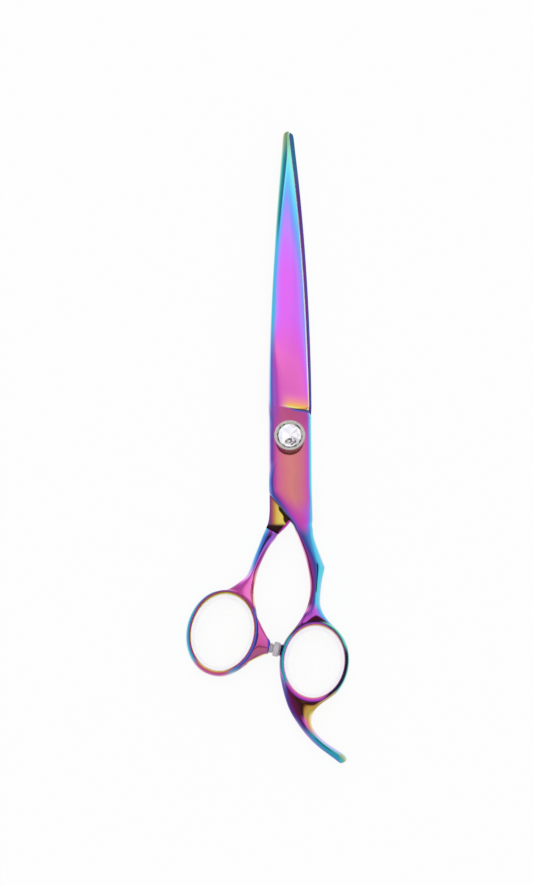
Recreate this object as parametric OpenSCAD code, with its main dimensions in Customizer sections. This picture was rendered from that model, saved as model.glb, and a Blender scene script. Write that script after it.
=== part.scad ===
// Hair shears with straight blades, a jewelled tension dial and clear ring inserts
// Lengths in millimetres, angles in degrees. The pivot axis is the Z axis and the tips point along +Y.
// The shears lie closed on the plane z = 0 with the dial on top.

/* [Blades] */
// From the pivot axis to the blade tips
blade_len = 104.8; // [90:1:125]
// Half of the closed width at the pivot
half_w = 6.85; // [6.6:0.05:7.5]
// Half of the closed width near the tips
tip_half_w = 1.75; // [1.4:0.05:2.4]
// How late the closed width falls off towards the tips
taper_power = 1.9; // [1.6:0.05:2.4]
// How far a cutting edge lies inside the spine of the other blade
edge_inset = 1.1; // [0.6:0.05:1.5]
// Thickness of one half at the pivot
half_thk = 2.8; // [2.5:0.05:3.2]
// Thickness of one blade at its tip
tip_thk = 1.3; // [1:0.05:1.8]
// Radius of the rounded tips
tip_r = 1.4; // [0.8:0.1:2]
// Width of the honed bevel along a cutting edge
bevel_w = 0.8; // [0.5:0.05:1.2]
// Height of the honed bevel
bevel_h = 0.75; // [0.4:0.05:0.95]
// Depth of the hollow ground into an inner face
hollow = 0.2; // [0.05:0.05:0.4]
// Swell of the ground outer face
face_swell = 0.28; // [0.1:0.02:0.4]
// Width of the spine strip left beside the ground face at the step
spine_strip = 2.6; // [1.8:0.1:3.4]
// Width of the tip flat on the spine
tip_flat_w = 1.2; // [0.6:0.1:1.4]
// From the pivot axis to the step where the ground face starts
step_y = 10; // [8:0.5:14]
// Gap between the inner faces of the halves
ride_gap = 0.12; // [0.1:0.01:0.2]

/* [Neck] */
// From the pivot axis down to the corner where a half turns inwards
corner_y = 18.6; // [17:0.1:20]
// From the pivot axis down to the crotch between the shanks
crotch_y = 28.4; // [27.5:0.1:30]
// Half of the gap between the halves at the crotch
crotch_x = 0.9; // [0.7:0.05:1.2]
// From the pivot axis down to the shoulder where a shank gets its full thickness
shoulder_y = 30.8; // [30:0.1:33]
// Hollow radius in front of a shoulder
shoulder_r = 1.8; // [1:0.1:2.2]
// Turn of the shoulder across the finger shank
finger_shoulder = 15; // [10:1:20]
// Turn of the shoulder across the thumb shank
thumb_shoulder = 27; // [20:1:34]
// Half thickness of a shank
shank_h = 2.5; // [2.1:0.05:2.7]

/* [Finger ring] */
// Ring centre across from the pivot axis
finger_x = 7.4; // [6.4:0.1:8.4]
// Ring centre down from the pivot axis
finger_y = 73.1; // [71:0.1:76]
// Half of the long way across the hole
finger_a = 11.4; // [10.8:0.1:12.4]
// Half of the short way across the hole
finger_b = 9.3; // [8.8:0.1:10]
// Width of the ring metal seen from above
finger_band = 2; // [1.7:0.1:2.4]
// Lean of the long way from the Y axis
finger_lean = -7.5; // [-12:0.5:-3]

/* [Thumb ring] */
// Ring centre across from the pivot axis
thumb_x = 22; // [21:0.1:23]
// Ring centre down from the pivot axis
thumb_y = 63.5; // [62:0.1:65]
// Half of the long way across the hole
thumb_a = 12.2; // [11.6:0.1:12.8]
// Half of the short way across the hole
thumb_b = 9.7; // [9.2:0.1:10.2]
// Width of the ring metal seen from above
thumb_band = 2; // [1.7:0.1:2.4]
// Lean of the long way from the Y axis
thumb_lean = -13.5; // [-18:0.5:-9]

/* [Tang] */
// Half thickness of the tang at its free end
tang_end_h = 1.6; // [1.2:0.1:2.2]

/* [Ring inserts] */
// Wall of an insert at its middle
insert_wall = 0.9; // [0.6:0.05:1.4]
// Height of an insert
insert_height = 4.4; // [3.6:0.1:5]
// Gap between an insert and its ring
insert_gap = 0.05; // [0.03:0.01:0.1]

/* [Bumper] */
// Where on the finger ring the bumper lands, turned from the ring top
pad_turn = 79; // [74:1:84]
// Slope of the bumper axis down towards the finger ring
bumper_slope = 12; // [6:1:18]
// Radius of the landing pad
pad_r = 1.9; // [1.5:0.1:2.2]
// Height of the landing pad over the ring
pad_lift = 0.2; // [0.1:0.05:0.3]
// Gap between bumper and pad when closed
bumper_gap = 0.12; // [0.08:0.01:0.3]
// Radius of the bumper head
bumper_r = 2.35; // [2:0.05:2.6]
// Length of the bumper head
bumper_head = 2.1; // [1.8:0.1:2.6]
// Radius of the bumper collar
collar_r = 1.6; // [1.4:0.05:1.8]
// Length of the bumper collar
collar_len = 1; // [0.7:0.1:1.4]
// Radius of the neck between collar and head
neck_r = 1.3; // [1.15:0.05:1.38]
// Length of that neck
neck_len = 0.4; // [0.2:0.1:0.7]
// Half of the width of the spur end
spur_half = 1.95; // [1.85:0.05:2.3]
// Half thickness of the spur end
spur_h = 2; // [1.85:0.05:2.3]
// Radius of the bumper stud
stud_r = 0.75; // [0.6:0.05:0.9]
// Depth of the stud in the spur
stud_depth = 3; // [2:0.1:3.6]
// Radius of the stud flange moulded into the head
flange_r = 1.2; // [1:0.05:1.6]
// Thickness of the stud flange
flange_t = 0.5; // [0.3:0.05:0.7]

/* [Pivot] */
// Radius of the bolt head
head_r = 4; // [3.6:0.1:4.6]
// Thickness of the bolt head
head_t = 1; // [0.7:0.05:1.3]
// Radius of the keyed neck
key_r = 3; // [2.8:0.05:3.3]
// Half of the distance across the key flats
key_flat = 2.4; // [2.2:0.05:2.6]
// Radius of the journal that turns in the bush
journal_r = 2.4; // [2.25:0.05:2.55]
// Outer radius of the bush
bush_r = 3.2; // [2.95:0.05:3.4]
// Radius of the threaded end
thread_r = 2; // [1.7:0.05:2.15]
// Radius of the two spanner holes in the bolt head
spanner_r = 0.5; // [0.3:0.05:0.7]
// From the axis to a spanner hole
spanner_x = 2.4; // [1.8:0.1:2.8]
// Depth of the spanner holes
spanner_depth = 0.5; // [0.3:0.05:0.6]
// Radial gap of a running fit
run_gap = 0.03; // [0.02:0.01:0.06]
// Radial gap of a seated piece
seat_gap = 0.03; // [0.02:0.01:0.06]
// Outer radius of the washer between the halves
washer_r = 5.3; // [4.6:0.1:5.8]
// Thickness of the washer between the halves
washer_t = 0.5; // [0.35:0.05:0.7]

/* [Dial] */
// Depth of the knurl grooves
knurl_depth = 0.18; // [0.08:0.02:0.26]
// Number of knurl grooves
knurl_count = 44; // [30:1:60]
// Gap between the dial and the blade under it
dial_gap = 0.15; // [0.1:0.05:0.3]
// Height of the knurled dial
dial_height = 3.1; // [2.9:0.05:3.6]
// Wall of the dial around the washers
skirt_wall = 0.5; // [0.4:0.05:0.6]
// Thickness of the glide washer
glide_t = 0.3; // [0.2:0.05:0.4]
// Height of the cupped spring washer
spring_height = 0.5; // [0.4:0.05:0.6]
// Thickness of the cupped spring washer
spring_t = 0.28; // [0.2:0.02:0.34]
// Length of thread over the washers
thread_len = 1.2; // [0.9:0.05:1.35]
// Wall of the bezel around the stone
bezel_wall = 0.8; // [0.6:0.05:1.1]
// How far the bezel stands over the knurled side of the dial
bezel_over = 0.2; // [0.05:0.05:0.3]
// Height of the bezel
bezel_height = 0.95; // [0.8:0.05:1.2]
// How far the bezel lip reaches over the stone
bezel_lip = 0.2; // [0.1:0.02:0.3]
// Radius of the stone
stone_r = 4.2; // [3.9:0.05:4.3]
// Height of the stone crown over its girdle
crown_height = 0.85; // [0.6:0.05:1.1]
// Depth of the stone under its girdle
pavilion_depth = 1.2; // [1:0.05:1.25]
// Thickness of the stone girdle
girdle_t = 0.2; // [0.1:0.05:0.3]
// Radius of the flat on top of the stone
table_r = 1.5; // [0.8:0.1:2.2]
// Facets around the stone
stone_facets = 16; // [8:2:24]

/* [Fineness] */
// Stations along a blade
blade_steps = 22; // [16:1:40]
// Stations in each stretch of a shank, spur or tang
span_steps = 4; // [3:1:6]
// Stations around a ring
ring_steps = 60; // [48:4:80]
// Points around a ring section
band_steps = 16; // [12:2:20]

/* [Hidden] */

coat = [0.74, 0.36, 0.66];
silver = [0.75, 0.75, 0.78];
steel = [0.55, 0.56, 0.58];
bronze = [0.71, 0.53, 0.30];
white_plastic = [0.92, 0.92, 0.90];
clear_plastic = [0.86, 0.86, 0.93, 0.5];
clear_glass = [0.90, 0.92, 0.95, 0.7];
grey_rubber = [0.62, 0.63, 0.66];

// Middle plane between the halves, and the same distance as half of the full thickness
face_z = ride_gap / 2;
full_h = half_thk + face_z;
top_z = 2 * full_h;
inner_low = full_h - face_z;
inner_high = full_h + face_z;

// A ring is its centre, long and short half axes of the hole, direction of the long axis, band
finger_ring = [[finger_x, -finger_y], finger_a, finger_b, 90 + finger_lean, finger_band];
thumb_ring = [[thumb_x, -thumb_y], thumb_a, thumb_b, 90 - thumb_lean, thumb_band];

// Curves and joins
function mix(a, b, t) = a + (b - a) * t;
function signed_pow(v, p) = v < 0 ? -pow(-v, p) : pow(v, p);
function held(list, i) = list[min(max(i, 0), len(list) - 1)];
function curve(list, t) =
    let (i = min(floor(t), len(list) - 2), f = t - i)
    let (a = held(list, i - 1), b = held(list, i), c = held(list, i + 1), d = held(list, i + 2))
    0.5 * (2 * b + (c - a) * f + (2 * a - 5 * b + 4 * c - d) * f * f
        + (3 * b - a - 3 * c + d) * f * f * f);
function steps_of(list, t) =
    let (i = min(floor(t), len(list) - 2))
    mix(list[i], list[i + 1], t - i);
function bend(a, b, c, t) = mix(mix(a, b, t), mix(b, c, t), t);

// A point of a ring, turned from the ring top, that far outside the hole
function ring_point(ring, turn, out) =
    let (d = ring[3], along = [cos(d), sin(d)], across = [-sin(d), cos(d)])
    let (n = [cos(turn) / ring[1], sin(turn) / ring[2]])
    let (e = [ring[1] * cos(turn), ring[2] * sin(turn)] + out * n / norm(n))
    ring[0] + e[0] * along + e[1] * across;

// Points of a section: under side from the left edge to the right, then back over the top
low_steps = 8;
top_steps = 14;
section_steps = low_steps + top_steps;

// A plan row is left edge, right edge. A height row is base, rise over it, drop under it, squareness.
function edge_mix(plan, s) = [mix(plan[0], plan[2], s), mix(plan[1], plan[3], s)];
function section_point(plan, tall, turn) =
    let (c = signed_pow(cos(turn), 2 / tall[3]), s = signed_pow(sin(turn), 2 / tall[3]))
    let (p = edge_mix(plan, (1 + c) / 2))
    [p[0], p[1], tall[0] + s * (s > 0 ? tall[1] : tall[2])];
function section(plan, tall) = concat(
    [for (k = [1 : low_steps - 1]) section_point(plan, tall, 180 + 180 * k / low_steps)],
    [for (k = [0 : top_steps]) section_point(plan, tall, 180 * k / top_steps)]);
function span(plans, talls, steps) = [
    for (k = [0 : (len(plans) - 1) * steps])
        section(curve(plans, k / steps), steps_of(talls, k / steps))];

// Least width of the rounded tip end as a share
tip_least = 0.35;
// Blade shape at a height along it
function reach(y) = max(0, (y - step_y) / (blade_len - step_y));
function closed_w(y) = half_w - (half_w - tip_half_w) * pow(reach(y), taper_power);
function inset(y) = edge_inset * (1 - pow(1 - reach(y), 3));
function tip_part(y) = max(0, (y - (blade_len - tip_r)) / tip_r);
function tip_round(y) = max(tip_least, sqrt(1 - pow(tip_part(y), 2)));

// Flat at a cutting edge, and the rounding of the spine as shares across and down
edge_land = 0.1;
spine_round_w = 1;
spine_round_h = 0.7;
spine_shares = [[0.55, 0.1], [0.2, 0.42], [0, 1]];
// Share of the blade over which the spine strip fades, and where the tip flat starts
strip_fade = 0.38;
flat_start = 0.55;
// Most that the spine strip and the bevel take of a narrow tip
tip_strip_share = 0.55;
tip_bevel_share = 0.25;
bevel_thk_share = 0.7;
// How much the hollow, the swell and the thickness fade towards the tip
hollow_fade = 0.5;
swell_fade = 0.6;
tip_thin = 0.6;
// Shares of the width where the hollow starts and ends
hollow_in = 0.12;
hollow_out = 0.86;
face_points = top_steps - len(spine_shares) - 3;

function blade_section(y, skew) =
    let (u = reach(y), w = closed_w(y), left = -w, right = w - inset(y))
    let (thk = mix(half_thk, tip_thk, u))
    let (flat_now = tip_flat_w * max(0, (u - flat_start) / (1 - flat_start)))
    let (strip_now = max(spine_round_w, mix(spine_strip, spine_round_w, u / strip_fade)))
    let (strip = min(strip_now + flat_now, tip_strip_share * (right - left)))
    let (ridge = [left + strip, thk])
    let (bevel_now = min(bevel_w, tip_bevel_share * (right - left)))
    let (bevel = [right - bevel_now, min(bevel_h, bevel_thk_share * thk)])
    let (outline = concat(
        [for (k = [1 : low_steps - 1])
            let (s = k / low_steps, q = (s - hollow_in) / (hollow_out - hollow_in))
            [mix(left, right, s), q > 0 && q < 1 ? hollow * (1 - hollow_fade * u) * 4 * q * (1 - q) : 0]],
        [[right, 0], [right, edge_land]],
        [for (k = [0 : face_points])
            let (s = k / face_points)
            mix(bevel, ridge, s) + [0, face_swell * (1 - swell_fade * u) * 4 * s * (1 - s)]],
        [for (share = spine_shares)
            [left + strip * share[0], thk - spine_round_h * thk / half_thk * share[1]]],
        [[left, 0]]))
    let (f = tip_round(y), centre = (left + right) / 2)
    [for (p = outline)
        let (x = mix(centre, p[0], f))
        [x, y - skew * x, face_z + p[1] * mix(tip_thin, 1, f)]];

// The step where the ground face ends slants across the half
step_slant = 0.12;
step_run = 0.9;
step_corner = 0.55;
corner_run = 4.5;
ricasso_square = 6;
function crown(x, w) = half_thk * pow(max(0, 1 - pow(abs(x) / w, ricasso_square)), 1 / ricasso_square);
function step_section(y, skew) =
    [for (p = blade_section(step_y + step_run, 0))
        let (x = min(p[0], half_w - step_corner))
        [x, y - skew * x, p[2] > face_z + edge_land ? max(p[2], face_z + crown(x, half_w)) : p[2]]];
function ricasso_section(y, skew, corner) =
    let (s = section([-half_w, y, half_w - corner, y], [face_z, half_thk, 0, ricasso_square]))
    [for (p = s) [p[0], p[1] - skew * p[0], p[2]]];

// Neck shared by both halves, from the ricasso to the crotch. Its left edge turns at the corner.
neck_y = 12;
corner_in = 0.45;
corner_lead = 2;
neck_flare = 0.1;
left_corner = [-half_w + corner_in, -corner_y];
left_crotch = [crotch_x, -crotch_y];
neck_left = [
    [-half_w, -neck_y],
    [-half_w, corner_lead - corner_y],
    left_corner,
    mix(left_corner, left_crotch, 0.36),
    mix(left_corner, left_crotch, 0.72)];
neck_right = [0, 2.5, 5, 8.5, 12.5];
neck_last = len(neck_left) - 1;
neck_plan = [
    for (k = [0 : neck_last])
        [neck_left[k][0], neck_left[k][1], half_w + neck_flare * k / neck_last, -neck_y - neck_right[k]]];
neck_square = 4;
neck_tall = [
    for (k = [0 : neck_last])
        k < 2 ? [face_z, half_thk, 0, ricasso_square]
        : [0, full_h, full_h, mix(ricasso_square, neck_square, k / neck_last)]];

// Shank rows below the crotch. The lower ones are taken from the ring centre.
function from_ring(ring, row) = row + [ring[0][0], ring[0][1], ring[0][0], ring[0][1]];
row_inside = 0.9;
function ring_row(ring, left, right) =
    let (a = ring_point(ring, left, row_inside * ring[4]), b = ring_point(ring, right, row_inside * ring[4]))
    [a[0], a[1], b[0], b[1]];
finger_flare = 0.3;
thumb_flare = 0.6;
still_plan = concat(neck_plan, [
    [crotch_x, -crotch_y, half_w + finger_flare, -crotch_y],
    from_ring(finger_ring, [-4.6, 40, 0.4, 40]),
    from_ring(finger_ring, [-3, 35.2, 2.1, 35.2]),
    from_ring(finger_ring, [-1.9, 31.1, 3.65, 30.8]),
    from_ring(finger_ring, [-1.2, 26.6, 2.8, 26.8]),
    from_ring(finger_ring, [-1.2, 22.5, 2.2, 22.2]),
    from_ring(finger_ring, [-2, 18.5, 2.3, 17.7]),
    from_ring(finger_ring, [-4, 14.2, 4.2, 13.9]),
    ring_row(finger_ring, 45, 330),
    ring_row(finger_ring, 60, 316)]);
moving_plan = concat(neck_plan, [
    [crotch_x, -crotch_y, half_w + thumb_flare, -crotch_y],
    from_ring(thumb_ring, [-18.1, 32.1, -13.3, 32]),
    from_ring(thumb_ring, [-15.1, 28, -11.6, 28]),
    from_ring(thumb_ring, [-12.8, 23.5, -9.8, 23.5]),
    from_ring(thumb_ring, [-11.3, 19.5, -8.1, 19.1]),
    from_ring(thumb_ring, [-10.5, 16, -5.6, 16.6]),
    from_ring(thumb_ring, [-10.2, 12.8, -1.6, 14.1]),
    ring_row(thumb_ring, 40, 345),
    ring_row(thumb_ring, 52, 332)]);
// A shank loses height and squareness over the first rows under the neck
shank_square = 1.8;
spur_square = 1.4;
fade_rows = 3;
function shank_tall(rows) = concat(neck_tall, [
    for (k = [1 : rows])
        let (fade = min(1, k / fade_rows), h = mix(full_h, shank_h, fade))
        [0, h, h, mix(neck_square, shank_square, fade)]]);

// The curved tang on the finger ring, its rows taken from the ring centre
tang_plan = [
    from_ring(finger_ring, [-11, -1.9, 8.1, -8.4]),
    from_ring(finger_ring, [-10.6, -7, 4.6, -11.8]),
    from_ring(finger_ring, [-8.8, -13.5, 0.5, -14.9]),
    from_ring(finger_ring, [-6.4, -18.4, -1.05, -18.3]),
    from_ring(finger_ring, [-3, -23.2, -0.4, -21.5]),
    from_ring(finger_ring, [1.2, -27.4, 3.1, -25.5]),
    from_ring(finger_ring, [6.1, -31.1, 7.8, -28.8]),
    from_ring(finger_ring, [8.1, -32.5, 10, -30.8])];
tang_tall = [
    for (k = [0 : len(tang_plan) - 1])
        let (h = mix(shank_h, tang_end_h, k / (len(tang_plan) - 1)))
        [0, h, h, shank_square]];

// Bumper line: from the pad on the finger ring back to the end of the spur
bumper_len = collar_len + neck_len + bumper_head;
pad_point = ring_point(finger_ring, pad_turn, finger_band);
bumper_aim = [cos(bumper_slope), -sin(bumper_slope)];
spur_end = pad_point - bumper_aim * (pad_lift + bumper_gap + bumper_len);

// The spur on the thumb ring, in the frame of the turned half
turned_end = [-spur_end[0], spur_end[1]];
turned_aim = [-bumper_aim[0], bumper_aim[1]];
turned_side = [turned_aim[1], -turned_aim[0]];
// Turns on the ring where the spur edges leave it and bend, and how far the lower edge swings out
spur_upper = [42, 66];
spur_lower = [140, 113];
spur_swing = 1;
spur_plan = [
    for (s = [0 : 0.25 : 1])
        let (l = bend(ring_point(thumb_ring, spur_upper[0], thumb_band),
            ring_point(thumb_ring, spur_upper[1], thumb_band), turned_end + spur_half * turned_side, s))
        let (r = bend(ring_point(thumb_ring, spur_lower[0], row_inside * thumb_band),
            ring_point(thumb_ring, spur_lower[1], thumb_band + spur_swing),
            turned_end - spur_half * turned_side, s))
        [l[0], l[1], r[0], r[1]]];
spur_tall = [
    for (k = [0 : len(spur_plan) - 1])
        let (h = mix(shank_h, spur_h, k / (len(spur_plan) - 1)))
        [0, h, h, spur_square]];

// A closed skin over a row of sections, with both ends shut
module skin(sections) {
    rows = len(sections);
    n = len(sections[0]);
    first = rows * n;
    function middle(s) = [for (v = s) 1] * s / n;
    polyhedron(
        points = concat([for (s = sections, p = s) p], [middle(sections[0]), middle(sections[rows - 1])]),
        faces = concat(
            [for (i = [0 : rows - 2], k = [0 : n - 1])
                [i * n + k, (i + 1) * n + k, (i + 1) * n + (k + 1) % n]],
            [for (i = [0 : rows - 2], k = [0 : n - 1])
                [i * n + k, (i + 1) * n + (k + 1) % n, i * n + (k + 1) % n]],
            [for (k = [0 : n - 1]) [first, k, (k + 1) % n]],
            [for (k = [0 : n - 1]) [first + 1, (rows - 1) * n + (k + 1) % n, (rows - 1) * n + k]]));
}

// A skin over sections that come back to the first one
module loop_skin(sections) {
    rows = len(sections);
    n = len(sections[0]);
    polyhedron(
        points = [for (s = sections, p = s) p],
        faces = concat(
            [for (i = [0 : rows - 1], k = [0 : n - 1])
                [i * n + k, ((i + 1) % rows) * n + k, ((i + 1) % rows) * n + (k + 1) % n]],
            [for (i = [0 : rows - 1], k = [0 : n - 1])
                [i * n + k, ((i + 1) % rows) * n + (k + 1) % n, i * n + (k + 1) % n]]));
}

// Joins the swept skins of a forging into one
module one_skin() {
    resize([0, 0, 0]) union() children();
}

// Oval band of a ring and the core inside its middle line
module ring_band(ring) {
    loop_skin([
        for (i = [0 : ring_steps - 1])
            [for (k = [0 : band_steps - 1])
                let (turn = 360 * i / ring_steps, t = 360 * k / band_steps)
                let (p = ring_point(ring, turn, ring[4] / 2 * (1 + sin(t))))
                [p[0], p[1], full_h * cos(t)]]]);
}

module ring_core(ring) {
    linear_extrude(4 * full_h, center = true)
        polygon([for (i = [0 : ring_steps - 1]) ring_point(ring, 360 * i / ring_steps, ring[4] / 2)]);
}

// Middle of a shank between the crotch row and the next one
function shank_mid(plan, y) =
    let (a = plan[len(neck_plan)], b = plan[len(neck_plan) + 1])
    mix(a[0] + a[2], b[0] + b[2], (2 * y - a[1] - a[3]) / (b[1] + b[3] - a[1] - a[3])) / 2;

// Room for the neck of the other half, down to the shoulder and hollowed into it
module shoulder_room(plan, turn) {
    far = 200;
    translate([shank_mid(plan, -shoulder_y), -shoulder_y, face_z])
        rotate(turn - 90) {
            translate([-shoulder_r - far, -far, -far])
                cube([far, 2 * far, far]);
            translate([-far, -far, -shoulder_r - far])
                cube([far, 2 * far, far]);
            translate([-shoulder_r, 0, -shoulder_r])
                rotate([90, 0, 0])
                    cylinder(2 * far, r = shoulder_r, center = true, $fn = 40);
        }
}

// Blade and shank of one half about the middle plane, outer face up
module blade_and_shank(plan) {
    tip_ys = [for (s = [0, 0.2, 0.5, 0.8]) blade_len - tip_r * s];
    blade_top = blade_len - 1.3 * tip_r;
    blade_ys = [for (k = [0 : blade_steps]) mix(blade_top, step_y + 2 * step_run, k / blade_steps)];
    skin(concat(
        [for (y = tip_ys) blade_section(y, 0)],
        [for (y = blade_ys) blade_section(y, 0)],
        [blade_section(step_y + step_run, step_slant)],
        [step_section(step_y - step_run / 2, step_slant)],
        [ricasso_section(step_y - corner_run / 2, step_slant / 2, step_corner / 2)],
        [for (y = [step_y - corner_run, 0, -neck_y / 2]) ricasso_section(y, 0, 0)],
        span(plan, shank_tall(len(plan) - len(neck_plan)), span_steps)));
}

// Bore along the bumper line, seen from above
module along_bumper(z) {
    translate([spur_end[0], spur_end[1], z])
        rotate([0, 90, -bumper_slope])
            children();
}

module still_half() {
    color(coat)
        difference() {
            translate([0, 0, full_h])
                one_skin() {
                    difference() {
                        union() {
                            blade_and_shank(still_plan);
                            skin(span(tang_plan, tang_tall, span_steps));
                        }
                        ring_core(finger_ring);
                        shoulder_room(still_plan, finger_shoulder);
                    }
                    ring_band(finger_ring);
                    along_bumper(0)
                        translate([0, 0, bumper_len + bumper_gap])
                            cylinder(pad_lift + finger_band / 2, r = pad_r, $fn = 32);
                }
            translate([0, 0, inner_high - 1])
                cylinder(half_thk + 2, r = bush_r);
            translate([0, 0, inner_high - 1])
                cylinder(1 + washer_t - ride_gap, r = washer_r + seat_gap);
        }
}

// Round neck with two flats, so that the bolt cannot turn in the moving half
module key_shape(height, gap) {
    intersection() {
        cylinder(height, r = key_r + gap);
        translate([-key_flat - gap, -2 * key_r, 0])
            cube([2 * (key_flat + gap), 4 * key_r, height]);
    }
}

module moving_half() {
    color(coat)
        difference() {
            translate([0, 0, full_h])
                rotate([0, 180, 0])
                    one_skin() {
                        difference() {
                            union() {
                                blade_and_shank(moving_plan);
                                skin(span(spur_plan, spur_tall, span_steps));
                            }
                            ring_core(thumb_ring);
                            shoulder_room(moving_plan, thumb_shoulder);
                        }
                        ring_band(thumb_ring);
                    }
            translate([0, 0, -1])
                cylinder(1 + head_t, r = head_r + seat_gap);
            translate([0, 0, -1])
                key_shape(half_thk + 2, seat_gap);
            along_bumper(full_h)
                translate([0, 0, -stud_depth])
                    cylinder(stud_depth + 1, r = stud_r + seat_gap);
        }
}

bolt_top = top_z + glide_t + spring_height + thread_len;

module pivot_bolt() {
    color(steel)
        difference() {
            union() {
                cylinder(head_t, r = head_r);
                key_shape(inner_low, 0);
                cylinder(top_z, r = journal_r);
                cylinder(bolt_top, r = thread_r);
            }
            for (side = [-1, 1])
                translate([0, side * spanner_x, -1])
                    cylinder(1 + spanner_depth, r = spanner_r);
        }
}

// A flat ring standing on a plane
module flat_ring(z, height, outer, inner) {
    translate([0, 0, z])
        difference() {
            cylinder(height, r = outer);
            translate([0, 0, -1])
                cylinder(height + 2, r = inner);
        }
}

module pivot_bush() {
    color(bronze)
        flat_ring(inner_high, half_thk, bush_r, journal_r + run_gap);
}

module blade_washer() {
    color(white_plastic)
        flat_ring(inner_low, washer_t, washer_r, bush_r + seat_gap);
}

bezel_r = stone_r + bezel_wall;
dial_r = bezel_r - bezel_over;
recess_r = dial_r - knurl_depth - skirt_wall;
recess_top = top_z + glide_t + spring_height;
washer_side = 0.15;
washer_out = recess_r - washer_side;
washer_in = thread_r + washer_side;

module glide_washer() {
    color(white_plastic)
        flat_ring(top_z, glide_t, washer_out, washer_in);
}

module spring_washer() {
    color(steel)
        translate([0, 0, top_z + glide_t])
            rotate_extrude()
                polygon([[washer_out, 0], [washer_out, spring_t], [washer_in, spring_height],
                    [washer_in, spring_height - spring_t]]);
}

dial_low = top_z + dial_gap;
dial_top = dial_low + dial_height;
girdle_lift = 0.05;
girdle_low = dial_top + girdle_lift;
girdle_high = girdle_low + girdle_t;
culet_z = girdle_low - pavilion_depth;
culet_r = 0.5;
lip_r = stone_r - bezel_lip;

module tension_dial() {
    color(silver)
        difference() {
            translate([0, 0, dial_low])
                linear_extrude(dial_height)
                    polygon([for (i = [0 : 2 * knurl_count - 1])
                        let (a = 180 * i / knurl_count)
                        (dial_r - knurl_depth * (i % 2)) * [cos(a), sin(a)]]);
            translate([0, 0, dial_low - 1])
                cylinder(recess_top - dial_low + 1, r = recess_r);
            cylinder(2 * dial_top, r = thread_r + run_gap);
            translate([0, 0, culet_z])
                cylinder(pavilion_depth, culet_r + seat_gap, stone_r + seat_gap);
        }
}

module dial_bezel() {
    round_over = 0.35;
    lip_slope = 0.2;
    bezel_top = dial_top + bezel_height;
    lip_low = girdle_high + crown_height * bezel_lip / (stone_r - table_r) + girdle_lift;
    color(silver)
        rotate_extrude()
            polygon(concat(
                [[stone_r + seat_gap, dial_top], [bezel_r, dial_top]],
                [for (t = [0 : 15 : 90])
                    [bezel_r - round_over, bezel_top - round_over] + round_over * [cos(t), sin(t)]],
                [[lip_r + lip_slope, bezel_top], [lip_r, bezel_top - lip_slope], [lip_r, lip_low],
                    [stone_r + seat_gap, lip_low]]));
}

module stone() {
    function round_row(r, z, shift) = [
        for (k = [0 : stone_facets - 1])
            let (a = 360 * (k + shift) / stone_facets)
            [r * cos(a), r * sin(a), z]];
    color(clear_glass)
        skin([
            round_row(culet_r, culet_z, 0),
            round_row(stone_r, girdle_low, 0),
            round_row(stone_r, girdle_high, 0),
            round_row(table_r, girdle_high + crown_height, 0.5)]);
}

// Roundings of the bumper head, and how deep the stud flange lies in it
head_round = 0.8;
head_edge = 0.15;
flange_in = 0.6;
flange_at = bumper_len - bumper_head + flange_in;
flange_top = flange_at + flange_t;
stud_end_gap = 0.1;

module bumper() {
    head_low = collar_len + neck_len;
    color(grey_rubber)
        along_bumper(full_h)
            rotate_extrude()
                polygon(concat(
                    [[stud_r + seat_gap, 0], [collar_r, 0], [collar_r, collar_len]],
                    [[neck_r, collar_len], [neck_r, head_low]],
                    [[bumper_r - head_edge, head_low], [bumper_r, head_low + head_edge]],
                    [for (t = [0 : 15 : 90])
                        [bumper_r - head_round, bumper_len - head_round] + head_round * [cos(t), sin(t)]],
                    [[0, bumper_len]],
                    [for (r = [0, flange_r + seat_gap]) [r, flange_top + seat_gap]],
                    [for (r = [flange_r, stud_r]) [r + seat_gap, flange_at - seat_gap]]));
}

module bumper_stud() {
    color(steel)
        along_bumper(full_h) {
            translate([0, 0, stud_end_gap - stud_depth])
                cylinder(stud_depth - stud_end_gap + flange_at + flange_t / 2, r = stud_r);
            translate([0, 0, flange_at])
                cylinder(flange_t, r = flange_r);
        }
}

// A lining that follows the inside of a ring and wraps a little over its edges
module ring_insert(ring) {
    half = insert_height / 2;
    turns = 6;
    function ring_in(z) = ring[4] / 2 * (1 - sqrt(1 - pow(z / full_h, 2)));
    section = concat(
        [for (k = [0 : turns])
            let (z = half * cos(180 * k / turns))
            [ring_in(z) - insert_gap, z]],
        [for (k = [1 : turns - 1])
            let (t = 180 * k / turns, z = -half * cos(t))
            [ring_in(z) * (1 - sin(t)) - insert_gap - insert_wall * sin(t), z]]);
    color(clear_plastic)
        translate([0, 0, full_h])
            loop_skin([
                for (i = [0 : ring_steps - 1])
                    [for (s = section)
                        let (p = ring_point(ring, 360 * i / ring_steps, s[0]))
                        [p[0], p[1], s[1]]]]);
}

module finger_insert() {
    ring_insert(finger_ring);
}

module thumb_insert() {
    ring_insert([[-thumb_x, -thumb_y], thumb_a, thumb_b, 90 + thumb_lean, thumb_band]);
}

still_half();
moving_half();
pivot_bolt();
pivot_bush();
blade_washer();
glide_washer();
spring_washer();
tension_dial();
dial_bezel();
stone();
bumper();
bumper_stud();
finger_insert();
thumb_insert();
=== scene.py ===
# Hair shears with straight blades, a jewelled tension dial and clear ring inserts.
# They lie closed on a white table with the dial up, the tips along +Y and the pivot on the Z axis.
# Shapes are worked out in millimetres and turned to metres when a mesh is finished.
import math

import bmesh
import bpy
from mathutils import Matrix, Vector


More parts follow.
